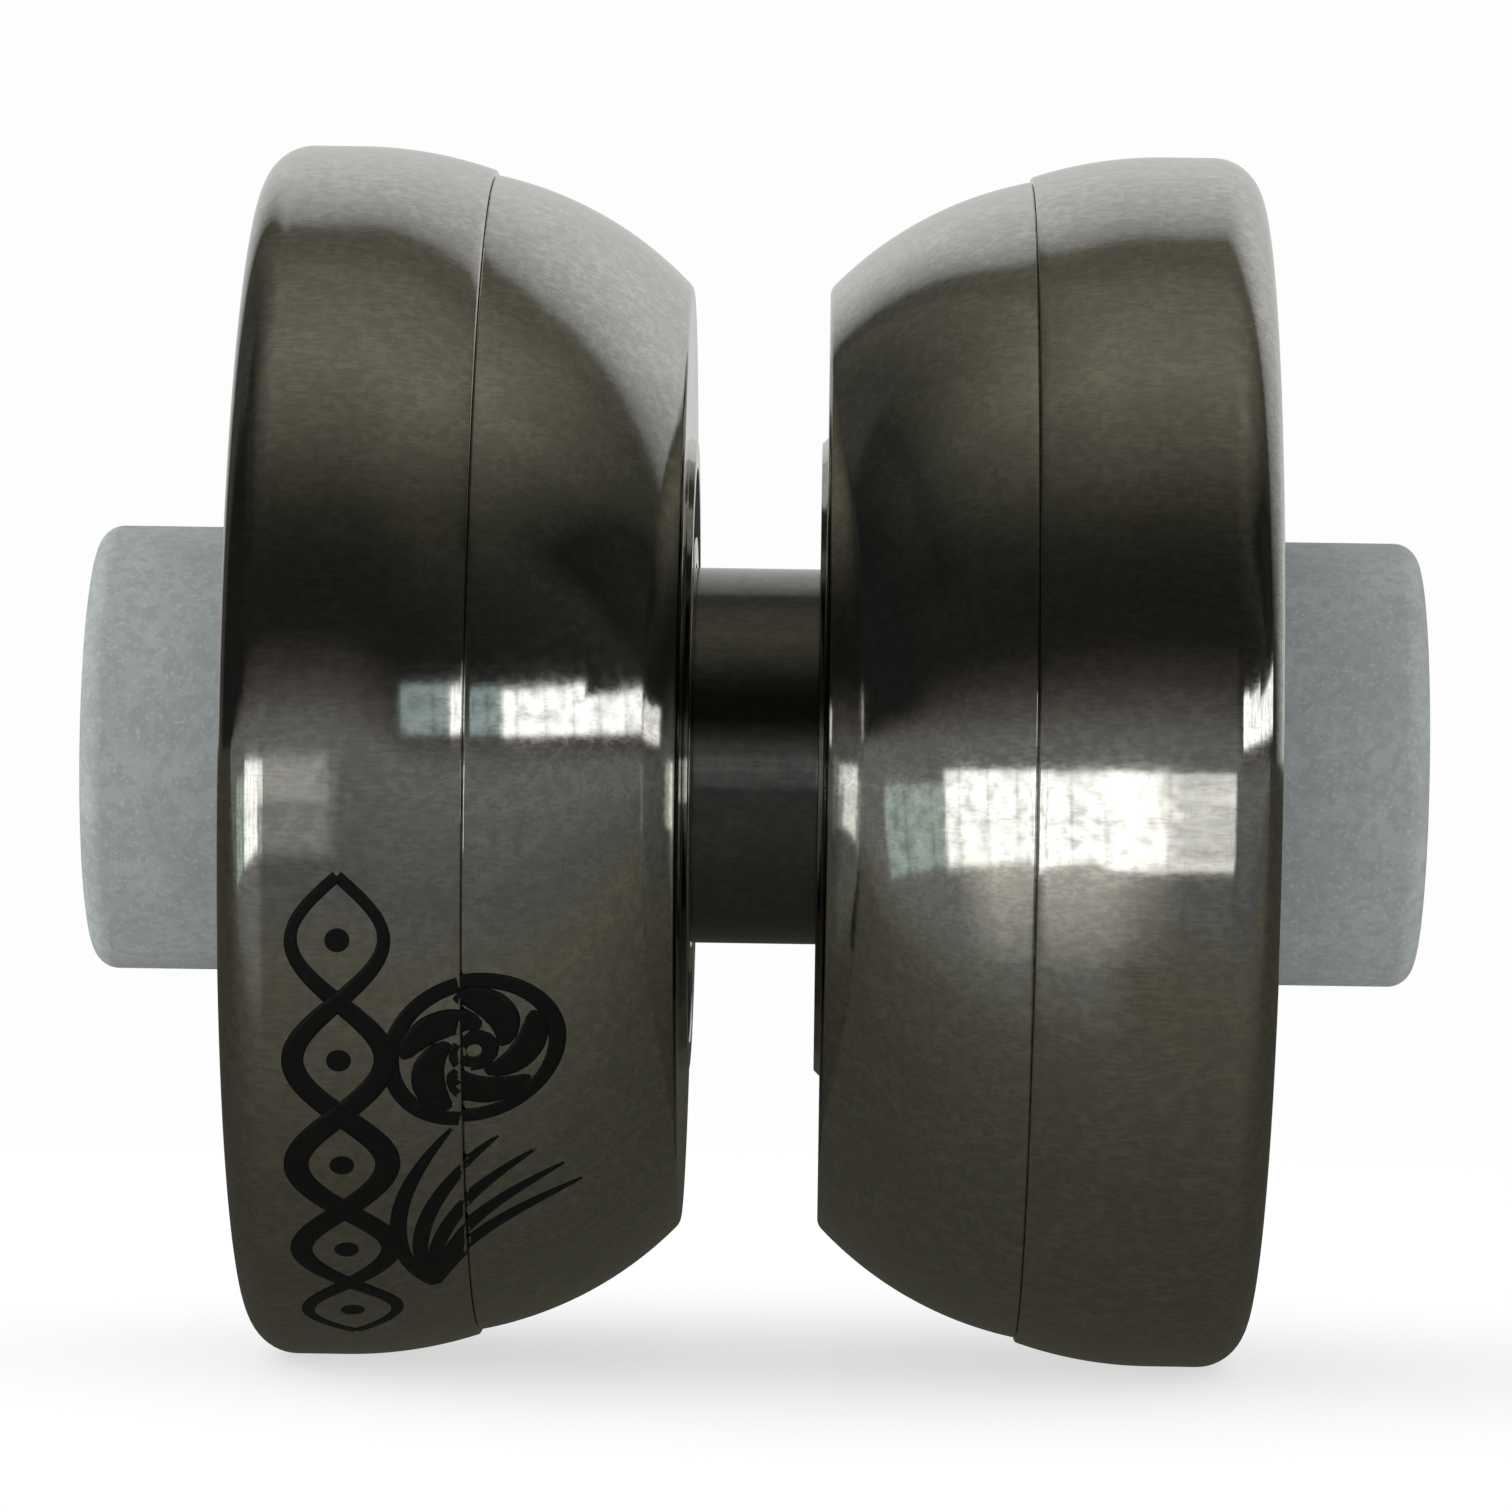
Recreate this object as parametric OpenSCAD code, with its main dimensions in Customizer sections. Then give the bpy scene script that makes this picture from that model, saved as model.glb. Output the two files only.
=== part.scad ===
// Metal string-spinning toy: two weighted halves on one axle screw, a ball bearing that
// carries the string between them, and a side cap on its own small bearing at each end.
// The spin axis is X, the origin is the middle of the axle, and +Z is up.
// "right" is the +X side. The left side is its mirror image.

/* [Halves] */
// Largest diameter over the rims
rim_d = 40.8; // [40.4:0.1:41.6]
// Width over both halves, between the outer rim faces
body_w = 33.4; // [33.2:0.1:34.4]
// Distance from the middle plane to the seam between cup and rim ring
seam_x = 9.0; // [8.8:0.1:9.2]
// How far the cup's edge sits below the ring's edge at the seam
seam_step = 0.16; // [0.08:0.02:0.2]
// Radius of the edge where the outside of each half meets the gap face
gap_edge_r = 15.95; // [15.6:0.05:16.1]
// Radius of the curve of the cup's outside, seen in section
dome_curve_r = 12.5; // [12:0.5:16]
// Radius of the curve of the ring's outside, seen in section
ring_curve_r = 14; // [13.5:0.5:16]
// Radius of the rounding of the outer rim
rim_round_r = 1.6; // [1.2:0.1:1.8]
// Thickness of the web between the gap face and the side recess
web_t = 3.7; // [3.5:0.1:4]

/* [String gap] */
// Width of the gap between the flat gap faces
gap_w = 4.6; // [4.5:0.1:4.7]
// Height of the raised land that carries the response pad
land_h = 0.2; // [0.1:0.05:0.2]
// Diameter of the raised land
land_d = 21.6; // [21:0.1:22]
// Outer diameter of the response pad
pad_d = 19.4; // [19:0.1:19.6]
// Inner diameter of the response pad
pad_bore_d = 14.8; // [14.6:0.1:15.2]
// Thickness of the response pad
pad_t = 0.95; // [0.8:0.05:1.2]

/* [Side caps] */
// Diameter of a side cap
cap_d = 15.0; // [14.8:0.1:15.4]
// Width over both side caps, end to end
overall_w = 44.5; // [44:0.1:45]
// Radius of the rounding at the end of a side cap
cap_round_r = 0.8; // [0.6:0.1:1.4]
// Diameter of the finger dimple in the end of a side cap
dimple_d = 9; // [8:0.5:10]
// Depth of the finger dimple
dimple_h = 0.5; // [0.3:0.1:0.7]

/* [Axle] */
// Diameter of the axle screw
axle_d = 4; // [4]
// Length of the axle screw
axle_l = 15.6; // [15:0.1:15.6]
// Width across the flats of the hex socket in each end of the axle screw
hex_af = 2; // [2]

/* [Hidden] */
$fn = 96;
arc_steps = 12;

// Colours
polished_steel = [0.56, 0.55, 0.52];
bearing_steel = [0.62, 0.62, 0.62];
frosted_plastic = [0.72, 0.74, 0.74];
black_silicone = [0.12, 0.12, 0.12];
black_screw = [0.2, 0.2, 0.21];
brass_cage = [0.62, 0.5, 0.26];

// The string bearing is a quarter-inch bearing: 6.35 x 12.7 x 4.762.
// Each entry is bore radius, outer radius, width, ball circle radius, number of balls,
// half width between the shields and whether a snap ring holds each shield.
string_bearing = [3.175, 6.35, 4.762, 4.7625, 10, 1.92, true];
// The cap bearings are 5 x 10 x 4.
cap_bearing = [2.5, 5, 4, 3.75, 8, 1.7, false];
ball_r = 0.794;
groove_r = 0.82;
pocket_r = 0.86;
cage_half_w = 1.15;
cage_half_t = 0.34;
race_gap = 0.62;
shield_t = 0.18;

// Clearances
running = 0.05;
slip = 0.02;
press = 0.01;

face_x = gap_w / 2;
land_x = face_x - land_h;
rim_face_x = body_w / 2;
rim_r = rim_d / 2;
floor_x = face_x + web_t;
bearing_half_w = string_bearing[2] / 2;
ring_crown_x = 13.5;
ring_edge_r = rim_r - ring_curve_r + sqrt(pow(ring_curve_r, 2) - pow(ring_crown_x - seam_x, 2));
cup_edge_r = ring_edge_r - seam_step;
edge_break = 0.08;
spigot_r = 17.9;
spigot_l = 3;
wall_r = 16.5;
wall_round_r = 4;
lip_r = 17.3;
lip_round_r = 0.5;
centre_gap = 0.9;
seat_shoulder_r = 4;
seat_relief = 0.22;
thread_hole_end_x = 8.2;
hub_r = 3.6;
hub_fillet_r = 0.8;
cap_bearing_x = 8.6;
post_end_x = 13.2;
post_chamfer = 0.3;
cap_base_x = 7;
cap_end_x = overall_w / 2;
cap_core_r = 3;
cap_core_end_x = 19.5;
cap_shoulder_r = 4.3;
cap_lip_r = 4.8;
hex_depth = 2.2;
snap_ring_gap_deg = 26;

// Points along the arc of radius |r| from p to q. Going from p to q, the centre lies on the
// right for a positive r and on the left for a negative one.
function arc_between(p, q, r, steps = arc_steps) =
    let (
        chord = q - p,
        half = norm(chord) / 2,
        rise = sqrt(r * r - half * half) * sign(r),
        centre = (p + q) / 2 + [chord.y, -chord.x] / norm(chord) * rise,
        from = atan2(p.y - centre.y, p.x - centre.x),
        turn = atan2(q.y - centre.y, q.x - centre.x) - from,
        sweep = turn > 180 ? turn - 360 : turn < -180 ? turn + 360 : turn
    )
    [for (i = [0:steps]) centre + abs(r) * [cos(from + sweep * i / steps), sin(from + sweep * i / steps)]];

// Turns a child that is built along +Z so that it lies along +X.
module along_x() {
    rotate([0, 90, 0]) children();
}

// The left side is the right side mirrored in the middle plane.
module left_side() {
    mirror([1, 0, 0]) children();
}

// A turned piece: the outline's points are [radius, distance along X].
module turned(outline) {
    along_x() rotate_extrude() polygon(outline);
}

// A washer between two radii, from x0 to x1.
module washer(inner_r, outer_r, x0, x1) {
    turned([[inner_r, x0], [outer_r, x0], [outer_r, x1], [inner_r, x1]]);
}

// ---- halves ----

// The outside of the cup, from the gap face over the dome to the seam.
function cup_outside() = concat(
    arc_between([gap_edge_r - 0.4, face_x], [gap_edge_r, face_x + 0.14], -0.5, 6),
    arc_between([gap_edge_r, face_x + 0.14], [cup_edge_r, seam_x - edge_break], -dome_curve_r, 24),
    [[cup_edge_r - edge_break, seam_x]]
);

// The side recess: down the wall, round the corner and across the floor to the hub.
function cup_recess() = concat(
    [[wall_r + 0.2, seam_x + spigot_l], [wall_r, seam_x + spigot_l - 0.3]],
    arc_between([wall_r, floor_x + wall_round_r], [wall_r - wall_round_r, floor_x], wall_round_r),
    arc_between([hub_r + hub_fillet_r, floor_x], [hub_r, floor_x + hub_fillet_r], hub_fillet_r, 6)
);

// The cup: bearing post, bearing seat, pad groove, gap face, dome, spigot, recess and cap post.
module cup() {
    post_r = string_bearing[0] - press;
    seat_r = string_bearing[1] + running;
    cap_post_r = cap_bearing[0] - press;
    post_x = centre_gap / 2;
    outline = concat(
        [
            [0, post_x], [post_r - post_chamfer, post_x], [post_r, post_x + post_chamfer],
            [post_r, bearing_half_w], [seat_shoulder_r, bearing_half_w],
            [seat_shoulder_r, bearing_half_w + seat_relief], [seat_r, bearing_half_w + seat_relief],
            [seat_r, land_x + 0.1], [seat_r + 0.1, land_x],
            [pad_bore_d / 2 - slip, land_x], [pad_bore_d / 2 - slip, land_x + 0.05 + pad_t],
            [pad_d / 2 + slip, land_x + 0.05 + pad_t], [pad_d / 2 + slip, land_x],
            [land_d / 2 - land_h, land_x], [land_d / 2, face_x]
        ],
        cup_outside(),
        [
            [spigot_r, seam_x], [spigot_r, seam_x + spigot_l - 0.2],
            [spigot_r - 0.2, seam_x + spigot_l]
        ],
        cup_recess(),
        [
            [hub_r, cap_bearing_x], [cap_post_r, cap_bearing_x],
            [cap_post_r, post_end_x - post_chamfer], [cap_post_r - post_chamfer, post_end_x],
            [0, post_end_x]
        ]
    );
    hole_r = axle_d / 2 + slip;
    color(polished_steel) difference() {
        turned(outline);
        along_x() cylinder(r = hole_r, h = thread_hole_end_x);
        along_x() translate([0, 0, thread_hole_end_x]) cylinder(r1 = hole_r, r2 = 0, h = hole_r * 0.6);
        along_x() translate([0, 0, post_x - 0.01]) cylinder(r1 = hole_r + 0.3, r2 = hole_r, h = 0.3);
    }
}

// The rim ring: slides over the cup's spigot and carries most of the weight.
module rim_ring() {
    shoulder_x = seam_x + spigot_l + running;
    outline = concat(
        [[spigot_r + slip, seam_x], [ring_edge_r - edge_break, seam_x]],
        arc_between([ring_edge_r, seam_x + edge_break], [rim_r, ring_crown_x], -ring_curve_r, 16),
        arc_between([rim_r, rim_face_x - rim_round_r], [rim_r - rim_round_r, rim_face_x], -rim_round_r),
        arc_between([lip_r + lip_round_r, rim_face_x], [lip_r, rim_face_x - lip_round_r], -lip_round_r, 6),
        [[wall_r + 0.1, shoulder_x + 0.25], [wall_r + 0.35, shoulder_x], [spigot_r + slip, shoulder_x]]
    );
    color(polished_steel) turned(outline);
}

// The response pad: a flat silicone ring in the land's groove.
module response_pad() {
    color(black_silicone) washer(pad_bore_d / 2, pad_d / 2, land_x + 0.05, land_x + 0.05 + pad_t);
}

// The axle screw: a grub screw with a hex socket in each end.
module axle_screw() {
    end_x = axle_l / 2;
    r = axle_d / 2;
    color(black_screw) difference() {
        turned([[0, -end_x], [r - 0.5, -end_x], [r, 0.5 - end_x], [r, end_x - 0.5], [r - 0.5, end_x], [0, end_x]]);
        for (side = [-1, 1])
            translate([side * (end_x - hex_depth / 2 + 0.01), 0, 0])
                along_x() cylinder(d = hex_af / cos(30), h = hex_depth + 0.02, center = true, $fn = 6);
    }
}

// ---- ball bearings, centred on x = 0 ----

// Two copies, one at each end of a bearing.
module both_ends() {
    for (side = [0, 1]) mirror([side, 0, 0]) children();
}

// The track that the balls run in, cut out of a race.
module ball_track(bearing) {
    along_x() rotate_extrude() translate([bearing[3], 0]) circle(r = groove_r);
}

module inner_race(bearing) {
    half_w = bearing[2] / 2;
    top_r = bearing[3] - race_gap;
    color(bearing_steel) difference() {
        turned([
            [bearing[0], 0.15 - half_w], [bearing[0] + 0.15, -half_w], [top_r, -half_w],
            [top_r, half_w], [bearing[0] + 0.15, half_w], [bearing[0], half_w - 0.15]
        ]);
        ball_track(bearing);
    }
}

// Where the shield sits: its outer radius and its inner face.
function shield_r(bearing) = bearing[3] + race_gap + (bearing[6] ? 0.4 : 0.2);
function shield_x(bearing) = bearing[5];

module outer_race(bearing) {
    half_w = bearing[2] / 2;
    bottom_r = bearing[3] + race_gap;
    seat_r = shield_r(bearing) + slip;
    groove_x = shield_x(bearing) + shield_t + slip;
    function end_outline(s) = bearing[6]
        ? [[bottom_r, s * shield_x(bearing)], [seat_r, s * shield_x(bearing)], [seat_r, s * groove_x],
           [seat_r + 0.13, s * groove_x], [seat_r + 0.13, s * (groove_x + 0.17)],
           [seat_r, s * (groove_x + 0.17)], [seat_r, s * half_w]]
        : [[bottom_r, s * shield_x(bearing)], [seat_r, s * shield_x(bearing)], [seat_r, s * half_w]];
    right_end = end_outline(1);
    last = len(right_end) - 1;
    color(bearing_steel) difference() {
        turned(concat(
            right_end,
            [[bearing[1] - 0.15, half_w], [bearing[1], half_w - 0.15],
             [bearing[1], 0.15 - half_w], [bearing[1] - 0.15, -half_w]],
            [for (i = [last:-1:0]) [right_end[i].x, -right_end[i].y]]
        ));
        ball_track(bearing);
    }
}

module cage(bearing) {
    color(brass_cage) difference() {
        washer(bearing[3] - cage_half_t, bearing[3] + cage_half_t, -cage_half_w, cage_half_w);
        for (i = [0:bearing[4] - 1])
            rotate([360 / bearing[4] * i, 0, 0])
                translate([0, 0, bearing[3] - 2 * cage_half_t]) cylinder(r = pocket_r, h = 4 * cage_half_t);
    }
}

module balls(bearing) {
    color(bearing_steel) for (i = [0:bearing[4] - 1])
        rotate([360 / bearing[4] * i, 0, 0]) translate([0, 0, bearing[3]]) sphere(r = ball_r);
}

module shields(bearing) {
    inner_r = bearing[3] - race_gap + 0.1;
    color(bearing_steel) both_ends()
        washer(inner_r, shield_r(bearing), shield_x(bearing) + press, shield_x(bearing) + shield_t);
}

// The split wire rings that hold the shields in.
module snap_rings(bearing) {
    ring_x = shield_x(bearing) + shield_t + slip + 0.02;
    outer_r = shield_r(bearing) + 0.13;
    color(bearing_steel) both_ends() along_x() rotate([0, 0, snap_ring_gap_deg / 2])
        rotate_extrude(angle = 360 - snap_ring_gap_deg)
            translate([outer_r - 0.36, ring_x]) square([0.36, 0.13]);
}

// ---- side caps ----

// Places a cap bearing against the shoulder of the cap post.
module at_cap_bearing() {
    translate([cap_bearing_x + cap_bearing[2] / 2, 0, 0]) children();
}

// The side cap: snaps over its bearing's outer race and turns freely on it.
module side_cap() {
    cap_r = cap_d / 2;
    pocket_end_x = cap_bearing_x + cap_bearing[2];
    seat_r = cap_bearing[1];
    dimple_ball_r = (pow(dimple_d / 2, 2) + dimple_h * dimple_h) / (2 * dimple_h);
    outline = concat(
        [[cap_lip_r + 0.7, cap_base_x], [cap_r - 0.25, cap_base_x], [cap_r, cap_base_x + 0.25]],
        arc_between([cap_r, cap_end_x - cap_round_r], [cap_r - cap_round_r, cap_end_x], -cap_round_r),
        [[dimple_d / 2, cap_end_x]],
        arc_between([dimple_d / 2, cap_end_x], [0, cap_end_x - dimple_h], dimple_ball_r, 10),
        [
            [0, cap_core_end_x], [cap_core_r - 0.5, cap_core_end_x], [cap_core_r, cap_core_end_x - 0.5],
            [cap_core_r, pocket_end_x + 1.2], [cap_shoulder_r, pocket_end_x + 1.2],
            [cap_shoulder_r, pocket_end_x], [seat_r, pocket_end_x], [seat_r, cap_bearing_x - 0.05],
            [cap_lip_r, cap_bearing_x - 0.2], [cap_lip_r, cap_bearing_x - 0.5]
        ]
    );
    color(frosted_plastic) turned(outline);
}

cup();  // right_cup
left_side() cup();  // left_cup
rim_ring();  // right_rim_ring
left_side() rim_ring();  // left_rim_ring
response_pad();  // right_response_pad
left_side() response_pad();  // left_response_pad
axle_screw();
inner_race(string_bearing);  // string_bearing_inner_race
outer_race(string_bearing);  // string_bearing_outer_race
cage(string_bearing);  // string_bearing_cage
balls(string_bearing);  // string_bearing_balls
shields(string_bearing);  // string_bearing_shields
snap_rings(string_bearing);  // string_bearing_snap_rings
side_cap();  // right_side_cap
at_cap_bearing() inner_race(cap_bearing);  // right_cap_bearing_inner_race
at_cap_bearing() outer_race(cap_bearing);  // right_cap_bearing_outer_race
at_cap_bearing() cage(cap_bearing);  // right_cap_bearing_cage
at_cap_bearing() balls(cap_bearing);  // right_cap_bearing_balls
at_cap_bearing() shields(cap_bearing);  // right_cap_bearing_shields
left_side() side_cap();  // left_side_cap
left_side() at_cap_bearing() inner_race(cap_bearing);  // left_cap_bearing_inner_race
left_side() at_cap_bearing() outer_race(cap_bearing);  // left_cap_bearing_outer_race
left_side() at_cap_bearing() cage(cap_bearing);  // left_cap_bearing_cage
left_side() at_cap_bearing() balls(cap_bearing);  // left_cap_bearing_balls
left_side() at_cap_bearing() shields(cap_bearing);  // left_cap_bearing_shields
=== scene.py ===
"""Fine shapes, finishes and studio for a metal string-spinning toy, laid out as an add-on.

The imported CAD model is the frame: every piece takes its place and its main sizes from it.
The spin axis is X, the right half is on the +X side, and the left half is its mirror image.
"""

import math
from collections import namedtuple
from functools import cache

import bmesh
import bpy
from mathutils import Matrix, Vector


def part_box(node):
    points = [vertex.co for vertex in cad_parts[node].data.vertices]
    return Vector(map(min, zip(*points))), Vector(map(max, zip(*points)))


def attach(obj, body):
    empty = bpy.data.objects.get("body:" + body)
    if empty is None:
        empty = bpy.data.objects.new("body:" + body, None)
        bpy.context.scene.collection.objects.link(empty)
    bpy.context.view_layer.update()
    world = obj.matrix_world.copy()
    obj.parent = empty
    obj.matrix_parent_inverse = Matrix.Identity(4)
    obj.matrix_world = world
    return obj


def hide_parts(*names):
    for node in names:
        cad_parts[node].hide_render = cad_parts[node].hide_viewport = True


bl_info = {
    "name": "String-spinning toy",
    "version": (1, 0, 0),
    "blender": (4, 5, 0),
    "location": "3D View > Sidebar > Spinning Toy",
    "description": "Turns, finishes and stages a ball-bearing string-spinning toy round its CAD model",
    "category": "Add Mesh",
}

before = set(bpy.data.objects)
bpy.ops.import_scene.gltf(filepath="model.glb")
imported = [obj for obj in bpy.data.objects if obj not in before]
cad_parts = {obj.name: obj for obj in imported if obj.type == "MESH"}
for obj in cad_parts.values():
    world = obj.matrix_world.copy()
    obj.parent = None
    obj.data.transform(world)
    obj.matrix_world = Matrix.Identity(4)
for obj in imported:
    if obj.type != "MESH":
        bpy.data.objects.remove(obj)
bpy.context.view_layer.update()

MM = 0.001


def low(node):
    """Lowest corner of a CAD node."""
    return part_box(node)[0]


def high(node):
    """Highest corner of a CAD node."""
    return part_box(node)[1]


# ---- settings -------------------------------------------------------------------------------


def length(name, description, default):
    """A length that a user may change."""
    return bpy.props.FloatProperty(
        name=name, description=description, default=default, min=0, unit="LENGTH", precision=5
    )


def number(name, description, default, **limits):
    """A number that a user may change, with its unit or subtype and its limits."""
    return bpy.props.FloatProperty(name=name, description=description, default=default, **limits)


def whole_number(name, description, default, least):
    """A whole number that a user may change."""
    return bpy.props.IntProperty(name=name, description=description, default=default, min=least)


def colour(name, description, default):
    """A colour that a user may change."""
    return bpy.props.FloatVectorProperty(
        name=name, description=description, default=default, min=0, max=1, size=3, subtype="COLOR"
    )


class CupSettings(bpy.types.PropertyGroup):
    """The inner, domed part of each half."""

    dome_bow: length("Dome curve", "Radius of the dome's curve in section", 12.5 * MM)
    gap_edge: length("Gap edge", "Rounding where the dome meets the gap face", 0.5 * MM)
    web: length("Web", "Thickness between the gap face and the recess", 3.7 * MM)
    recess_radius: length("Recess radius", "Radius of the side recess", 16.5 * MM)
    recess_corner: length("Recess corner", "Rounding at the bottom of the recess", 4 * MM)
    land_height: length("Land height", "How far the land stands off the gap face", 0.2 * MM)
    land_radius: length("Land radius", "Radius of the land round the bearing", 10.8 * MM)


class RingSettings(bpy.types.PropertyGroup):
    """The outer part of each half, which carries most of the weight."""

    bow: length("Side curve", "Radius of the ring's outside in section", 14 * MM)
    crown: length("Crown", "Distance from the middle to where the outside turns level", 13.5 * MM)
    rim_round: length("Rim rounding", "Rounding of the outer rim", 1.6 * MM)
    lip_radius: length("Lip radius", "Inner radius of the ring's end face", 17.3 * MM)
    lip_round: length("Lip rounding", "Rounding of the inner edge of the end face", 0.5 * MM)


class CapSettings(bpy.types.PropertyGroup):
    """The plastic cap at each end."""

    end_round: length("End rounding", "Rounding at the end of the cap", 0.8 * MM)
    dimple_radius: length("Dimple radius", "Radius of the finger dimple", 4.5 * MM)
    dimple_depth: length("Dimple depth", "Depth of the finger dimple", 0.5 * MM)


class ScrewSettings(bpy.types.PropertyGroup):
    """The grub screw that joins the halves."""

    pitch: length("Pitch", "Advance of the thread in one turn", 0.7 * MM)
    thread_depth: length("Thread depth", "Depth of the thread", 0.36 * MM)
    hex_width: length("Hex width", "Width across the flats of the hex sockets", 2 * MM)
    hex_depth: length("Hex depth", "Depth of the hex sockets", 2.2 * MM)


class MarkSettings(bpy.types.PropertyGroup):
    """The abstract ornament etched on the left half."""

    centre_x: number(
        "Place along the axis", "Middle of the ornament, along the axis", -8.6 * MM, unit="LENGTH"
    )
    centre_angle: number(
        "Place round the rim", "How far below the front the swirl lies", math.radians(29), unit="ROTATION"
    )
    radius: length("Swirl radius", "Radius of the ring round the swirl", 2.6 * MM)
    stroke: length("Stroke", "Width of the etched lines", 0.55 * MM)
    blades: whole_number("Blades", "Number of curved blades in the swirl", 5, 2)
    streaks: whole_number("Streaks", "Number of trailing lines", 5, 1)


class FinishSettings(bpy.types.PropertyGroup):
    """Colours and polish."""

    cup_metal: colour("Cup metal", "Polished metal of the cups", (0.705, 0.70, 0.665))
    rim_metal: colour("Rim metal", "Polished metal of the rim rings", (0.70, 0.69, 0.655))
    metal_roughness: number(
        "Metal roughness", "Roughness of the polished halves", 0.05, min=0, max=1, subtype="FACTOR"
    )
    turning: number(
        "Turning marks", "Strength of the fine rings left by the lathe", 0.5, min=0, max=1, subtype="FACTOR"
    )
    # The bearing's tone is darker than its ground steel: it paints the shade that the two halves cast on it
    # in the gap.
    bearing: colour("Bearing steel with painted shade", "Ground steel of the races, darkened to paint the shade in the gap", (0.23, 0.227, 0.22))
    # The cap's grey is its plastic's own tone set darker: part of it is painted shade on the caps' fronts.
    cap_plastic: colour("Cap plastic", "Frosted plastic of the side caps", (0.34, 0.37, 0.37))
    pad: colour("Response pad", "Silicone of the response pads", (0.018, 0.018, 0.019))
    brass: colour("Cage brass", "Brass of the ball cages", (0.60, 0.43, 0.18))
    screw: colour("Screw", "Blackened steel of the axle screw", (0.045, 0.045, 0.048))
    etch: colour("Etched mark", "Oxide in the etched lines", (0.004, 0.004, 0.004))


class StageSettings(bpy.types.PropertyGroup):
    """Camera, floor and light."""

    distance: length("Camera distance", "From the middle of the toy to the camera", 0.245)
    azimuth: number(
        "Camera azimuth", "Turn of the camera towards the right half", math.radians(0.53), unit="ROTATION"
    )
    roll: number(
        "Camera roll", "Roll of the camera about its line of sight", math.radians(0.84), unit="ROTATION"
    )
    lens: number("Focal length", "Camera lens, on a 36 mm wide sensor", 172.2, unit="CAMERA")
    floor_radius: length("Floor radius", "Radius of the floor", 6.0)
    pale: colour("Floor and background", "Pale tone of the floor and behind it", (0.985, 0.985, 0.985))


class ToySettings(bpy.types.PropertyGroup):
    """Everything that the operators read."""

    cup: bpy.props.PointerProperty(type=CupSettings)
    ring: bpy.props.PointerProperty(type=RingSettings)
    cap: bpy.props.PointerProperty(type=CapSettings)
    screw: bpy.props.PointerProperty(type=ScrewSettings)
    mark: bpy.props.PointerProperty(type=MarkSettings)
    finish: bpy.props.PointerProperty(type=FinishSettings)
    stage: bpy.props.PointerProperty(type=StageSettings)
    segments: whole_number("Segments", "Faces round a large turned piece", 256, 32)


# Clearances and broken edges of the fits between the pieces.
PRESS = 0.01 * MM
SLIP = 0.02 * MM
RUNNING = 0.05 * MM
FINE_EDGE = 0.02 * MM
EDGE = 0.03 * MM
LAND_EDGE = 0.04 * MM
SOFT_EDGE = 0.05 * MM
TRACK_EDGE = 0.06 * MM
SEAM_EDGE = 0.09 * MM
BORE_EDGE = 0.12 * MM
RACE_EDGE = 0.16 * MM
CHAMFER = 0.3 * MM

# A bearing's inside: its bore, radius of the circle through the ball centres, number of balls, half
# width between the shields, how far a shield reaches past the race and whether snap rings hold it.
Bearing = namedtuple("Bearing", "prefix centre bore circle balls shield_x shield_reach snap_rings")
STRING_BEARING = Bearing("string_bearing", 0, 3.175 * MM, 4.7625 * MM, 10, 1.92 * MM, 0.4 * MM, True)
CAP_BEARING_CENTRE = sum(end("right_cap_bearing_inner_race").x for end in (low, high)) / 2
RIGHT_CAP_BEARING = Bearing(
    "right_cap_bearing", CAP_BEARING_CENTRE, 2.5 * MM, 3.75 * MM, 8, 1.7 * MM, 0.2 * MM, False
)
LEFT_CAP_BEARING = RIGHT_CAP_BEARING._replace(prefix="left_cap_bearing", centre=-CAP_BEARING_CENTRE)
BALL_RADIUS = 0.794 * MM
TRACK_RADIUS = 0.82 * MM
RACE_GAP = 0.62 * MM
SHIELD_THICKNESS = 0.18 * MM
SNAP_GROOVE = 0.13 * MM
SNAP_GROOVE_WIDTH = 0.17 * MM
SNAP_PLAY = 0.02 * MM
SHIELD_GAP = 0.1 * MM
SNAP_WIDTH = 0.36 * MM
SNAP_THICKNESS = 0.13 * MM
SNAP_GAP = math.radians(26)

# Where the pieces of a half meet: the spigot under the rim ring, the pad's inner edge, the axle's
# hole and its tip in hole radii, the gap face behind the end of the bearing's post, the relief
# beside the bearing's race, the lip in front of a cap's bearing, and the hub that it sits on.
SPIGOT_RADIUS = 17.9 * MM
SPIGOT_LENGTH = 3 * MM
PAD_INNER = 7.4 * MM
AXLE_HOLE_END = 8.2 * MM
AXLE_HOLE_TIP = 0.6
GAP_FACE_DEPTH = 1.85 * MM
RACE_RELIEF = 0.22 * MM
LIP_HEIGHT = 0.2 * MM
HUB_RADIUS = 3.6 * MM

SIDES = {"right": 1, "left": -1}


# ---- node helpers ---------------------------------------------------------------------------


def maths_method(operation, swapped=False):
    """A method that works out an operation of a wire and another value."""

    def method(wire, other):
        """Adds the Math node."""
        return maths(operation, *((other, wire) if swapped else (wire, other)))

    return method


class Wire:
    """A node's output. Sums of wires add the Math nodes that work them out."""

    def __init__(self, socket):
        self.socket = socket

    __add__ = __radd__ = maths_method("ADD")
    __mul__ = __rmul__ = maths_method("MULTIPLY")
    __sub__ = maths_method("SUBTRACT")
    __rsub__ = maths_method("SUBTRACT", swapped=True)
    __truediv__ = maths_method("DIVIDE")


def tree_of(*values):
    """The tree that the first wire among some values is in."""
    return next(value.socket.id_data for value in values if isinstance(value, Wire))


def fill(node, inputs):
    """Sets a node's inputs, by name or number, from values or wires."""
    for key, value in dict(inputs).items():
        if isinstance(value, Wire):
            node.id_data.links.new(value.socket, node.inputs[key])
        else:
            node.inputs[key].default_value = value
    return node


def add(tree, kind, inputs=(), **settings):
    """Adds a node with its settings and inputs."""
    made = tree.nodes.new(kind)
    for name, value in settings.items():
        setattr(made, name, value)
    return fill(made, inputs)


def wire(tree, kind, inputs=(), output=0, **settings):
    """Adds a node and gives one of its outputs."""
    return Wire(add(tree, kind, inputs, **settings).outputs[output])


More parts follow.
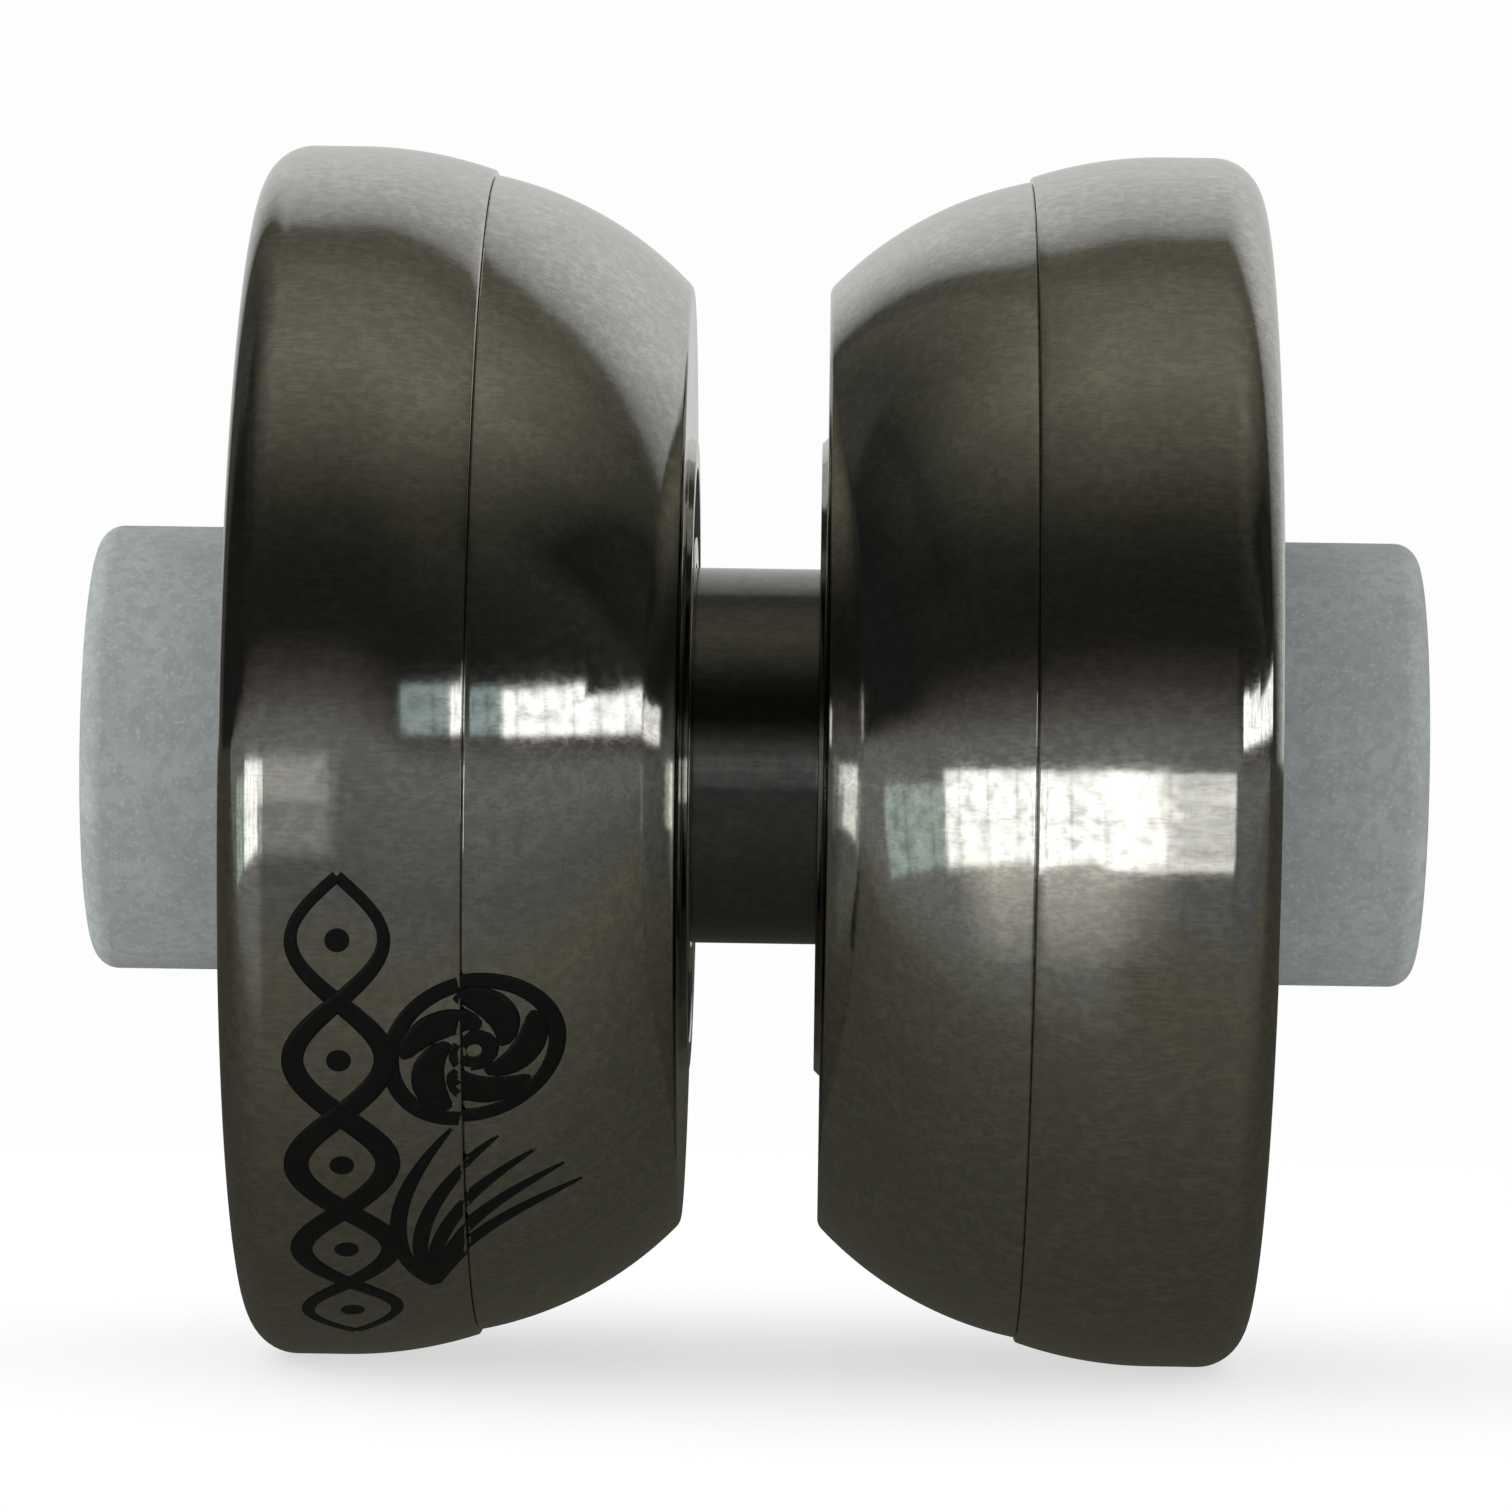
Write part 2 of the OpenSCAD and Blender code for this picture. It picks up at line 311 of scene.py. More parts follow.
def shape(tree, kind, inputs=(), output=0, **settings):
    """Adds a geometry node and gives one of its outputs."""
    return wire(tree, "GeometryNode" + kind, inputs, output, **settings)


def maths(operation, *values, clamp=False):
    """A Math node's result."""
    return wire(tree_of(*values), "ShaderNodeMath", enumerate(values), operation=operation, use_clamp=clamp)


def degrees(operation, *values):
    """A Math node's result, turned from radians to degrees."""
    return maths("DEGREES", maths(operation, *values))


def vector_maths(operation, *values):
    """A Vector Math node's result."""
    output = "Value" if operation == "LENGTH" else "Vector"
    return wire(tree_of(*values), "ShaderNodeVectorMath", enumerate(values), output, operation=operation)


def whole(operation, *values):
    """An Integer Math node's result."""
    return wire(tree_of(*values), "FunctionNodeIntegerMath", enumerate(values), operation=operation)


def vector(x=0, y=0, z=0):
    """A vector from its parts."""
    return wire(tree_of(x, y, z), "ShaderNodeCombineXYZ", enumerate((x, y, z)))


def parts_of(value):
    """A vector's x, y and z."""
    return [Wire(part) for part in add(tree_of(value), "ShaderNodeSeparateXYZ", {0: value}).outputs]


def span(first, second):
    """The length of a vector with two parts."""
    return maths("SQRT", first * first + second * second)


def between(value, start, end, low_value=0.0, high_value=1.0, kind="SMOOTHSTEP"):
    """A smooth step from low_value at start to high_value at end."""
    ends = {"From Min": start, "From Max": end, "To Min": low_value, "To Max": high_value}
    return wire(tree_of(value), "ShaderNodeMapRange", {"Value": value, **ends}, interpolation_type=kind)


def straight(value, start, end, low_value=0.0, high_value=1.0):
    """A straight run from low_value at start to high_value at end."""
    return between(value, start, end, low_value, high_value, "LINEAR")


def blend(factor, first, second, **settings):
    """A Mix node's colour, from the first to the second."""
    first, second = (tone if isinstance(tone, Wire) else (*tone, 1) for tone in (first, second))
    sockets = {0: factor, 6: first, 7: second}
    return wire(tree_of(factor), "ShaderNodeMix", sockets, 2, data_type="RGBA", **settings)


def new_tree(name, **inputs):
    """A geometry tree with a Geometry output, and inputs named with their socket types."""
    tree = bpy.data.node_groups.new(name, "GeometryNodeTree")
    for label, kind in inputs.items():
        tree.interface.new_socket(label.replace("_", " "), in_out="INPUT", socket_type="NodeSocket" + kind)
    tree.interface.new_socket("Geometry", in_out="OUTPUT", socket_type="NodeSocketGeometry")
    return tree, {socket.name: Wire(socket) for socket in tree.nodes.new("NodeGroupInput").outputs}


def end_tree(tree, geometry, material):
    """Every tree ends in real geometry with its material set."""
    realised = shape(tree, "RealizeInstances", {"Geometry": geometry})
    finished = shape(tree, "SetMaterial", {"Geometry": realised, "Material": material})
    add(tree, "NodeGroupOutput", {"Geometry": finished})
    return tree


def run_tree(tree, mesh=None, **values):
    """The plain mesh that a tree makes from a mesh, with its inputs set by identifier."""
    holder = bpy.data.objects.new("holder", mesh or bpy.data.meshes.new("none"))
    bpy.context.scene.collection.objects.link(holder)
    modifier = holder.modifiers.new(tree.name, "NODES")
    modifier.node_group = tree
    for item in tree.interface.items_tree:
        key = item.name.replace(" ", "_")
        if item.item_type == "SOCKET" and item.in_out == "INPUT" and key in values:
            modifier[item.identifier] = values[key]
    evaluated = holder.evaluated_get(bpy.context.evaluated_depsgraph_get())
    made = bpy.data.meshes.new_from_object(evaluated)
    holder.modifiers.clear()
    bpy.data.objects.remove(holder)
    return made


# ---- outlines -------------------------------------------------------------------------------

# A corner of a turned piece's outline: its distance along the axis, its radius, its rounding,
# and the curve of the side that leaves it, which is positive where the side bulges outwards.
Corner = namedtuple("Corner", "x r round bow", defaults=(EDGE, 0))
# The spacing of an outline's points: close to the ends of a line, the longest and the widest step
# along an arc, and the widest and the finest step of a rounding. A corner that turns less than
# LEAST_TURN isn't rounded, and points nearer than SAME_POINT are one.
HOLD = 0.03 * MM
LONGEST_STEP = 0.35 * MM
WIDEST_STEP = math.radians(1.3)
ROUNDING_STEP = math.radians(7)
FINEST_STEP = 0.025 * MM
LEAST_TURN = math.radians(2)
SAME_POINT = 1e-7


class Side:
    """One side of an outline: a straight line, or an arc where the corner gives it a bow."""

    def __init__(self, corner, following):
        self.start = Vector((corner.x, corner.r))
        self.chord = Vector((following.x, following.r)) - self.start
        self.bow = corner.bow
        self.length = self.chord.length
        if self.bow:
            half = self.chord.length / 2
            inward = Vector((self.chord.y, -self.chord.x)).normalized() * math.copysign(1, self.bow)
            self.centre = self.start + self.chord / 2 + inward * math.sqrt(self.bow**2 - half**2)
            self.length = 2 * abs(self.bow) * math.asin(half / abs(self.bow))

    def at(self, distance):
        """The point at a distance along the side."""
        if not self.bow:
            return self.start + self.chord * (distance / self.length)
        spoke = self.start - self.centre
        return self.centre + Matrix.Rotation(-distance / self.bow, 2) @ spoke

    def heading(self, distance):
        """The direction of travel at a distance along the side."""
        if not self.bow:
            return self.chord.normalized()
        spoke = (self.at(distance) - self.centre).normalized()
        return Vector((spoke.y, -spoke.x)) * math.copysign(1, self.bow)

    def points(self, start, end):
        """Points from start to end: evenly along an arc, and close to the ends of a line."""
        if self.bow:
            steps = math.ceil((end - start) / min(LONGEST_STEP, abs(self.bow) * WIDEST_STEP))
            return [self.at(start + (end - start) * i / steps) for i in range(steps + 1)]
        hold = min(HOLD, (end - start) / 4)
        return [self.at(d) for d in (start, start + hold, end - hold, end)]


def rounding(before, cut_before, after, cut_after, turn):
    """The inner points of a corner's rounding, from one side to the next."""
    reach = (cut_before + cut_after) / 2
    handle = reach / math.tan(turn / 2) * 4 / 3 * math.tan(turn / 4)
    first, last = before.at(before.length - cut_before), after.at(cut_after)
    second = first + before.heading(before.length - cut_before) * handle
    third = last - after.heading(cut_after) * handle
    steps = max(3, min(math.ceil(turn / ROUNDING_STEP), math.ceil(turn * reach / FINEST_STEP)))
    points = []
    for i in range(1, steps):
        t = i / steps
        points.append(
            first * (1 - t) ** 3 + second * 3 * t * (1 - t) ** 2
            + third * 3 * t * t * (1 - t) + last * t**3
        )
    return points


def outline(corners, closed=False):
    """The points of an outline with its corners rounded. An open one starts and ends on the axis."""
    count = len(corners)
    sides = [Side(corners[i], corners[(i + 1) % count]) for i in range(count if closed else count - 1)]
    joints = range(count) if closed else range(1, count - 1)
    cuts, turns = [0] * count, [0] * count
    for i in joints:
        before, after = sides[i - 1], sides[i]
        turns[i] = before.heading(before.length).angle(after.heading(0))
        if turns[i] > LEAST_TURN:
            cuts[i] = corners[i].round * math.tan(turns[i] / 2)
    points = []
    for i, side in enumerate(sides):
        following = (i + 1) % count
        points += side.points(cuts[i], side.length - cuts[following])
        if cuts[following]:
            after = sides[following % len(sides)]
            points += rounding(side, cuts[following], after, cuts[following], turns[following])
    if closed:
        points.append(points[0])
    return [p for i, p in enumerate(points) if i == 0 or (p - points[i - 1]).length > SAME_POINT]


def moved(points, side, offset=0):
    """An outline for the right or left side, moved along the axis first."""
    placed = [Vector((side * (p.x + offset), p.y)) for p in points]
    return placed if side > 0 else placed[::-1]


def washer(inner, outer, start, end, edge=EDGE):
    """The outline of a flat ring between two radii and two places on the axis."""
    return outline(
        [Corner(start, inner, edge), Corner(start, outer, edge),
         Corner(end, outer, edge), Corner(end, inner, edge)],
        closed=True,
    )


# ---- geometry trees -------------------------------------------------------------------------

# Points nearer than this are one point.
MERGE = 5e-7
QUARTER_TURN = (0, math.pi / 2, 0)
# Where the flank of the thread runs from its crest to its root, in pitches.
THREAD_FLANK = (0.06, 0.44)

# The mark's proportions, in swirl radii, and the thickness of its lines in widths. The tail is a
# fan of streaks that meet at a tip below the swirl.
EYE_RADIUS = 0.2
BLADE_TURNS = 0.3
BLADE_REACH = (0.3, 0.86)
TAIL_TIP = (-0.55, 4.35)
TAIL_FAN = 0.19
TAIL_REACH = (3.3, -0.2)
CORD_LENGTH = 8.0
CORD_DROP = 1.55
CORD_OFFSET = 1.62
CORD_SWING = 0.56
CORD_TWISTS = 5
MARK_FLATNESS = 0.05
MARK_SINK = 0.12
MARK_STEP = 0.22 * MM
TAPER = 0.55
BLADE_WIDTH = 1.9
STREAK_BEND = (-0.30, -0.55, 0)
STREAK_END = (0.10, -1, 0)
CORD_WIDTH = 1.45
LEAST_CORD_WIDTH = 0.7
SEED_RADIUS = 0.72


@cache
def lathe_tree():
    """Sweeps an outline, given as points in order, once round the X axis."""
    tree, given = new_tree("lathe", Geometry="Geometry", Segments="Int", Material="Material")
    points = shape(tree, "AttributeDomainSize", {"Geometry": given["Geometry"]}, "Point Count")
    rows = whole("ADD", given["Segments"], 1)
    sheet = shape(tree, "MeshGrid", {"Vertices X": points, "Vertices Y": rows})
    index = shape(tree, "InputIndex")
    outline_point = shape(
        tree, "SampleIndex",
        {"Geometry": given["Geometry"], "Value": shape(tree, "InputPosition"),
         "Index": whole("DIVIDE_FLOOR", index, rows)},
        data_type="FLOAT_VECTOR",
    )
    angle = maths("DIVIDE", whole("FLOORED_MODULO", index, rows), given["Segments"]) * math.tau
    swung = wire(
        tree, "ShaderNodeVectorRotate", {"Vector": outline_point, "Angle": angle}, rotation_type="X_AXIS"
    )
    swept = shape(tree, "SetPosition", {"Geometry": sheet, "Position": swung})
    closed = shape(tree, "MergeByDistance", {"Geometry": swept, "Distance": MERGE})
    return end_tree(tree, shape(tree, "SetShadeSmooth", {"Geometry": closed}), given["Material"])


@cache
def ball_ring_tree():
    """Sets balls evenly on a circle round the X axis."""
    tree, given = new_tree(
        "ball ring", Geometry="Geometry", Balls="Int", Ball_radius="Float", Circle_radius="Float",
        Centre="Float", Material="Material",
    )
    circle = shape(tree, "MeshCircle", {"Vertices": given["Balls"], "Radius": given["Circle radius"]})
    ball = shape(tree, "MeshIcoSphere", {"Radius": given["Ball radius"], "Subdivisions": 4})
    smooth = shape(tree, "SetShadeSmooth", {"Geometry": ball})
    placed = shape(tree, "InstanceOnPoints", {"Points": circle, "Instance": smooth})
    upright = shape(
        tree, "Transform",
        {"Geometry": placed, "Translation": vector(given["Centre"]), "Rotation": (0, -math.pi / 2, 0)},
    )
    return end_tree(tree, upright, given["Material"])


def copies_along(tree, copied, copies, start, end):
    """Copies of a shape, evenly from start to end."""
    line = shape(
        tree, "MeshLine", {"Count": copies, "Start Location": start, "Offset": end}, mode="END_POINTS"
    )
    placed = shape(tree, "InstanceOnPoints", {"Points": line, "Instance": copied})
    return shape(tree, "RealizeInstances", {"Geometry": placed})


def together(tree, shapes):
    """Several shapes as one."""
    made = add(tree, "GeometryNodeJoinGeometry")
    for part in shapes:
        fill(made, {0: part})
    return Wire(made.outputs[0])


@cache
def snap_ring_tree():
    """Bends a wire with a flat section into a split ring at each end of a bearing."""
    tree, given = new_tree(
        "snap rings", Geometry="Geometry", Radius="Float", Width="Float", Thickness="Float",
        Place="Float", Gap="Float", Material="Material",
    )
    arc = shape(
        tree, "CurveArc",
        {"Resolution": 160, "Radius": given["Radius"], "Start Angle": given["Gap"] / 2,
         "Sweep Angle": math.tau - given["Gap"]},
    )
    section = shape(
        tree, "CurvePrimitiveQuadrilateral", {"Width": given["Width"], "Height": given["Thickness"]}
    )
    eased = shape(
        tree, "FilletCurve", {"Curve": section, "Radius": given["Thickness"] * 0.3, "Count": 3}, mode="POLY"
    )
    wires = shape(tree, "CurveToMesh", {"Curve": arc, "Profile Curve": eased, "Fill Caps": True})
    upright = shape(tree, "Transform", {"Geometry": wires, "Rotation": QUARTER_TURN})
    place = given["Place"]
    rings = copies_along(tree, upright, 2, vector(place * -1), vector(place))
    return end_tree(tree, rings, given["Material"])


@cache
def thread_tree():
    """Cuts a thread into a turned shank, and a hex socket into each end."""
    tree, given = new_tree(
        "thread", Geometry="Geometry", Pitch="Float", Depth="Float", Radius="Float",
        Half_length="Float", Hex_width="Float", Hex_depth="Float", Material="Material",
    )
    x, y, z = parts_of(shape(tree, "InputPosition"))
    radius = span(y, z)
    turns = maths("ARCTAN2", z, y) / math.tau
    wave = maths("PINGPONG", x / given["Pitch"] + turns, 0.5)
    thread_radius = given["Radius"] - between(wave, *THREAD_FLANK) * given["Depth"]
    factor = maths("MINIMUM", radius, thread_radius) / maths("MAXIMUM", radius, 1e-9)
    place = vector(x, y * factor, z * factor)
    threaded = shape(tree, "SetPosition", {"Geometry": given["Geometry"], "Position": place})
    prism = shape(
        tree, "MeshCylinder",
        {"Vertices": 6, "Depth": given["Hex depth"] * 2, "Radius": given["Hex width"] / math.sqrt(3)},
    )
    lying = shape(tree, "Transform", {"Geometry": prism, "Rotation": QUARTER_TURN})
    half = given["Half length"]
    tools = copies_along(tree, lying, 2, vector(half * -1), vector(half))
    cut = shape(
        tree, "MeshBoolean", {"Mesh 1": threaded, "Mesh 2": tools}, operation="DIFFERENCE", solver="EXACT"
    )
    return end_tree(tree, cut, given["Material"])


def wrapped_round(tree, flat, given):
    """A flat shape laid on the rim, from a ray cast inwards to the ground at each point."""
    x, y, z = parts_of(shape(tree, "InputPosition"))
    angle = y / given["Rim radius"] + given["Centre angle"]
    out = vector(y=maths("COSINE", angle) * -1, z=maths("SINE", angle) * -1)
    reach = given["Rim radius"] * 1.5
    axis_place = vector(x + given["Centre x"])
    outside = vector_maths("MULTIPLY_ADD", out, vector(reach, reach, reach), axis_place)
    hit = add(
        tree, "GeometryNodeRaycast",
        {"Target Geometry": given["Geometry"], "Source Position": outside,
         "Ray Direction": vector_maths("MULTIPLY", out, (-1, -1, -1)), "Ray Length": reach},
    )
    place, normal = (Wire(hit.outputs[name]) for name in ("Hit Position", "Hit Normal"))
    rise = z - given["Stroke"] * (MARK_FLATNESS * MARK_SINK)
    risen = vector_maths("MULTIPLY_ADD", normal, vector(rise, rise, rise), place)
    return shape(tree, "SetPosition", {"Geometry": flat, "Position": risen})


@cache
def mark_tree():
    """Draws the swirl, the twisted cord and the streaks flat, and wraps them round the rim.

    Flat X lies along the axis and flat Y round it, measured down from the ornament's middle.
    """
    tree, given = new_tree(
        "etched mark", Geometry="Geometry", Radius="Float", Stroke="Float", Blades="Int",
        Streaks="Int", Centre_x="Float", Centre_angle="Float", Rim_radius="Float", Material="Material",
    )
    radius, stroke = given["Radius"], given["Stroke"]
    along = shape(tree, "SplineParameter")
    taper = maths("POWER", maths("SINE", along * math.pi), TAPER)

    def repeated(curve, copies, turn, spot=(0, 0, 0), size=0.0, grow=0.0):
        """A curve repeated about a spot, each copy turned and grown further than the last."""
        spots = shape(tree, "Points", {"Count": copies, "Position": spot})
        step = shape(tree, "InputIndex")
        scale = step * grow * radius + radius * size if grow else (1, 1, 1)
        turned = {"Points": spots, "Instance": curve, "Rotation": vector(z=step * turn), "Scale": scale}
        return shape(tree, "RealizeInstances", {"Geometry": shape(tree, "InstanceOnPoints", turned)})

    def drawn(curve, width):
        """A curve with its width set, and with points close enough to follow the rim."""
        fine = shape(tree, "ResampleCurve", {"Curve": curve, "Length": MARK_STEP}, mode="LENGTH")
        return shape(tree, "SetCurveRadius", {"Curve": fine, "Radius": width})

    ring = shape(tree, "CurvePrimitiveCircle", {"Resolution": 64, "Radius": radius})
    eye = shape(tree, "CurvePrimitiveCircle", {"Resolution": 32, "Radius": radius * EYE_RADIUS})
    blade = shape(
        tree, "CurveSpiral",
        {"Resolution": 32, "Rotations": BLADE_TURNS, "Start Radius": radius * BLADE_REACH[0],
         "End Radius": radius * BLADE_REACH[1], "Height": 0},
    )
    streak = shape(
        tree, "CurveQuadraticBezier",
        {"Resolution": 40, "Start": (0, 0, 0), "Middle": STREAK_BEND, "End": STREAK_END},
    )
    tip = vector(radius * TAIL_TIP[0], radius * TAIL_TIP[1])
    thin = stroke * taper
    blade_turn = maths("DIVIDE", math.tau, given["Blades"])
    swirl = [
        drawn(ring, stroke),
        drawn(eye, stroke),
        drawn(repeated(blade, given["Blades"], blade_turn), stroke * (taper * BLADE_WIDTH)),
        drawn(repeated(streak, given["Streaks"], TAIL_FAN, tip, *TAIL_REACH), thin),
    ]
    half_down = radius * CORD_LENGTH * 0.5
    top, bottom = radius * CORD_DROP - half_down, radius * CORD_DROP + half_down
    cord_x = radius * -CORD_OFFSET
    wave = maths("SINE", along * (CORD_TWISTS * math.pi))
    for sign in (1, -1):
        line = shape(
            tree, "CurvePrimitiveLine", {"Start": vector(cord_x, top), "End": vector(cord_x, bottom)}
        )
        fine = shape(tree, "ResampleCurve", {"Curve": line, "Count": 160}, mode="COUNT")
        shift = vector(wave * (radius * (sign * CORD_SWING)))
        waved = shape(tree, "SetPosition", {"Geometry": fine, "Offset": shift})
        swirl.append(drawn(waved, maths("MAXIMUM", thin * CORD_WIDTH, stroke * LEAST_CORD_WIDTH)))

    upright = shape(tree, "SetCurveNormal", {"Curve": together(tree, reversed(swirl))}, mode="Z_UP")
    section = shape(tree, "CurvePrimitiveQuadrilateral", {"Width": 1, "Height": MARK_FLATNESS})
    profile = shape(tree, "SubdivideCurve", {"Curve": section, "Cuts": 3})
    ribbons = shape(
        tree, "CurveToMesh",
        {"Curve": upright, "Profile Curve": profile, "Fill Caps": True,
         "Scale": shape(tree, "InputRadius")},
    )
    # Seeds: small dots in the eyes of the cord.
    inset = half_down / CORD_TWISTS
    seed = shape(
        tree, "MeshCylinder",
        {"Vertices": 20, "Fill Segments": 1, "Radius": stroke * SEED_RADIUS,
         "Depth": stroke * MARK_FLATNESS},
        fill_type="TRIANGLE_FAN",
    )
    planted = copies_along(
        tree, seed, CORD_TWISTS, vector(cord_x, top + inset), vector(cord_x, bottom - inset)
    )
    flat = together(tree, (planted, ribbons))
    return end_tree(tree, wrapped_round(tree, flat, given), given["Material"])


# ---- making pieces --------------------------------------------------------------------------


def settings():
    """The sizes and colours that a user may change."""
    return bpy.context.scene.spinning_toy


def outward(mesh):
    """Turns every face of a closed mesh outwards."""
    work = bmesh.new()
    work.from_mesh(mesh)
    bmesh.ops.recalc_face_normals(work, faces=work.faces)
    work.to_mesh(mesh)
    work.free()
    return mesh


def turn(points, material, segments=None):
    """A closed mesh turned from an outline."""
    mesh = bpy.data.meshes.new("outline")
    mesh.from_pydata([(p.x, 0, max(p.y, 0)) for p in points], [], [])
    segments = segments or settings().segments
    return outward(run_tree(lathe_tree(), mesh, Segments=segments, Material=material))


def piece(name, mesh, body, node=None):
    """Adds a finished mesh as a piece that rides on a body and stands for a CAD node."""
    mesh.name = name
    made = bpy.data.objects.new(name, mesh)
    bpy.context.scene.collection.objects.link(made)
    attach(made, body)
    if node:
        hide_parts(node)


def turned_pair(part, how, points, finish, segments=None, body="halves"):
    """A turned piece for each side, from the right side's outline."""
    for name, side in SIDES.items():
        mesh = turn(moved(points, side), finishes()[finish], segments)
        piece(f"{name}_{part}_{how}", mesh, body.format(side=name), f"{name}_{part}")


def joined(meshes):
    """Several meshes with the same material as one mesh."""
    work = bmesh.new()
    for mesh in meshes:
        work.from_mesh(mesh)
    first = meshes[0]
    work.to_mesh(first)
    work.free()
    return first


# ---- shapes of the pieces, right side, in metres --------------------------------------------


def cup_outline(cup):
    """A cup, from the point of the axle's hole round the gap side and back to the axis."""
    gap_face = low("right_cup").x + GAP_FACE_DEPTH
    seam = low("right_rim_ring").x
    land = gap_face - cup.land_height
    pad = high("right_response_pad")
    race = high("string_bearing_outer_race")
    race_well, well_bevel = race.z + RUNNING, 0.1 * MM
    race_seat = 4 * MM
    face_edge, dome_edge = 15.803 * MM, high("right_cup").z + 0.016 * MM
    spigot_round, spigot_bevel, hub_fillet = 0.15 * MM, 0.2 * MM, 0.8 * MM
    bore = STRING_BEARING.bore - PRESS
    post, end = low("right_cup").x, high("right_cup").x
    hole = high("axle_screw").z + SLIP
    floor = gap_face + cup.web
    spigot_end = seam + SPIGOT_LENGTH
    cap_seat = low("right_cap_bearing_inner_race").x
    cap_bore = RIGHT_CAP_BEARING.bore - PRESS
    relief = race.x + RACE_RELIEF
    return outline([
        Corner(AXLE_HOLE_END + hole * AXLE_HOLE_TIP, 0),
        Corner(AXLE_HOLE_END, hole, 0.1 * MM),
        Corner(post + CHAMFER, hole),
        Corner(post, hole + CHAMFER, LAND_EDGE),
        Corner(post, bore - CHAMFER, SOFT_EDGE),
        Corner(post + CHAMFER, bore, SOFT_EDGE),
        Corner(race.x, bore),
        Corner(race.x, race_seat),
        Corner(relief, race_seat),
        Corner(relief, race_well, SOFT_EDGE),
        Corner(land + well_bevel, race_well, FINE_EDGE),
        Corner(land, race_well + well_bevel, FINE_EDGE),
        Corner(land, PAD_INNER - SLIP),
        Corner(pad.x, PAD_INNER - SLIP),
        Corner(pad.x, pad.z + SLIP),
        Corner(land, pad.z + SLIP),
        Corner(land, cup.land_radius - cup.land_height, LAND_EDGE),
        Corner(gap_face, cup.land_radius, LAND_EDGE),
        Corner(gap_face, face_edge, cup.gap_edge, cup.dome_bow),
        Corner(seam, dome_edge, SEAM_EDGE),
        Corner(seam, SPIGOT_RADIUS),
        Corner(spigot_end, SPIGOT_RADIUS, spigot_round),
        Corner(spigot_end, cup.recess_radius + spigot_bevel),
        Corner(spigot_end - CHAMFER, cup.recess_radius),
        Corner(floor, cup.recess_radius, cup.recess_corner),
        Corner(floor, HUB_RADIUS, hub_fillet),
        Corner(cap_seat, HUB_RADIUS),
        Corner(cap_seat, cap_bore),
        Corner(end - CHAMFER, cap_bore, SOFT_EDGE),
        Corner(end, cap_bore - CHAMFER, SOFT_EDGE),
        Corner(end, 0),
    ])


def ring_outline(ring):
    """A rim ring, from the seam over the crown and down the end face."""
    seam, rim = low("right_rim_ring").x, high("right_rim_ring")
    inner = SPIGOT_RADIUS + SLIP
    shoulder = seam + SPIGOT_LENGTH + RUNNING
    step, land_r, land_end = 0.743 * MM, 16.85 * MM, 16.6 * MM
    return outline([
        Corner(seam, inner),
        Corner(seam, rim.z - step, SEAM_EDGE, ring.bow),
        Corner(ring.crown, rim.z, 0),
        Corner(rim.x, rim.z, ring.rim_round),
        Corner(rim.x, ring.lip_radius, ring.lip_round),
        Corner(shoulder + land_r - land_end, land_end),
        Corner(shoulder, land_r),
        Corner(shoulder, inner),
    ], closed=True)


def cap_outline(cap):
    """A side cap, from its inner end over the bearing pocket and round the outside to the dimple."""
    base, end = low("right_side_cap"), high("right_side_cap")
    start, bearing = (side("right_cap_bearing_outer_race") for side in (low, high))
    lip_r = bearing.z - LIP_HEIGHT
    shoulder, core, core_end = 4.3 * MM, 3 * MM, 19.5 * MM
    inner_end, lip_edge = bearing.x + 1.2 * MM, 5.5 * MM
    lip_start, lip_end = 0.2 * MM, 0.5 * MM
    cap_edge, core_round = 0.25 * MM, 0.5 * MM
    half, depth = cap.dimple_radius, cap.dimple_depth
    dimple_bow = (half**2 + depth**2) / (2 * depth)
    return outline([
        Corner(core_end, 0),
        Corner(core_end, core, core_round),
        Corner(inner_end, core),
        Corner(inner_end, shoulder),
        Corner(bearing.x, shoulder),
        Corner(bearing.x, bearing.z),
        Corner(start.x - RUNNING, bearing.z, SOFT_EDGE),
        Corner(start.x - lip_start, lip_r, SOFT_EDGE),
        Corner(start.x - lip_end, lip_r, SOFT_EDGE),
        Corner(base.x, lip_edge, SOFT_EDGE),
        Corner(base.x, end.z, cap_edge),
        Corner(end.x, end.z, cap.end_round),
        Corner(end.x, half, cap_edge, -dimple_bow),
        Corner(end.x - depth, 0),
    ])


HALF_TRACK = math.sqrt(TRACK_RADIUS**2 - RACE_GAP**2)


def inner_race_outline(bearing, half_width):
    """An inner race, with the ball track in its outside."""
    top = bearing.circle - RACE_GAP
    return outline([
        Corner(-half_width, bearing.bore, BORE_EDGE),
        Corner(-half_width, top, TRACK_EDGE),
        Corner(-HALF_TRACK, top, EDGE, -TRACK_RADIUS),
        Corner(HALF_TRACK, top),
        Corner(half_width, top, TRACK_EDGE),
        Corner(half_width, bearing.bore, BORE_EDGE),
    ], closed=True)


def outer_race_outline(bearing, half_width, outer):
    """An outer race, with the ball track and the seats of the shields and snap rings inside."""
    bottom = bearing.circle + RACE_GAP
    seat = bottom + bearing.shield_reach + SLIP
    groove = bearing.shield_x + SHIELD_THICKNESS + SLIP
    right_end = [(bearing.shield_x, bottom), (bearing.shield_x, seat)]
    if bearing.snap_rings:
        deep, far = seat + SNAP_GROOVE, groove + SNAP_GROOVE_WIDTH
        right_end += [(groove, seat), (groove, deep), (far, deep), (far, seat)]
    right_end = [Corner(x, r, FINE_EDGE) for x, r in reversed([*right_end, (half_width, seat)])]
    left_end = [corner._replace(x=-corner.x) for corner in reversed(right_end)]
    return outline(
        [Corner(half_width, outer, RACE_EDGE), *right_end,
         Corner(HALF_TRACK, bottom, EDGE, -TRACK_RADIUS), Corner(-HALF_TRACK, bottom),
         *left_end, Corner(-half_width, outer, RACE_EDGE)],
        closed=True,
    )


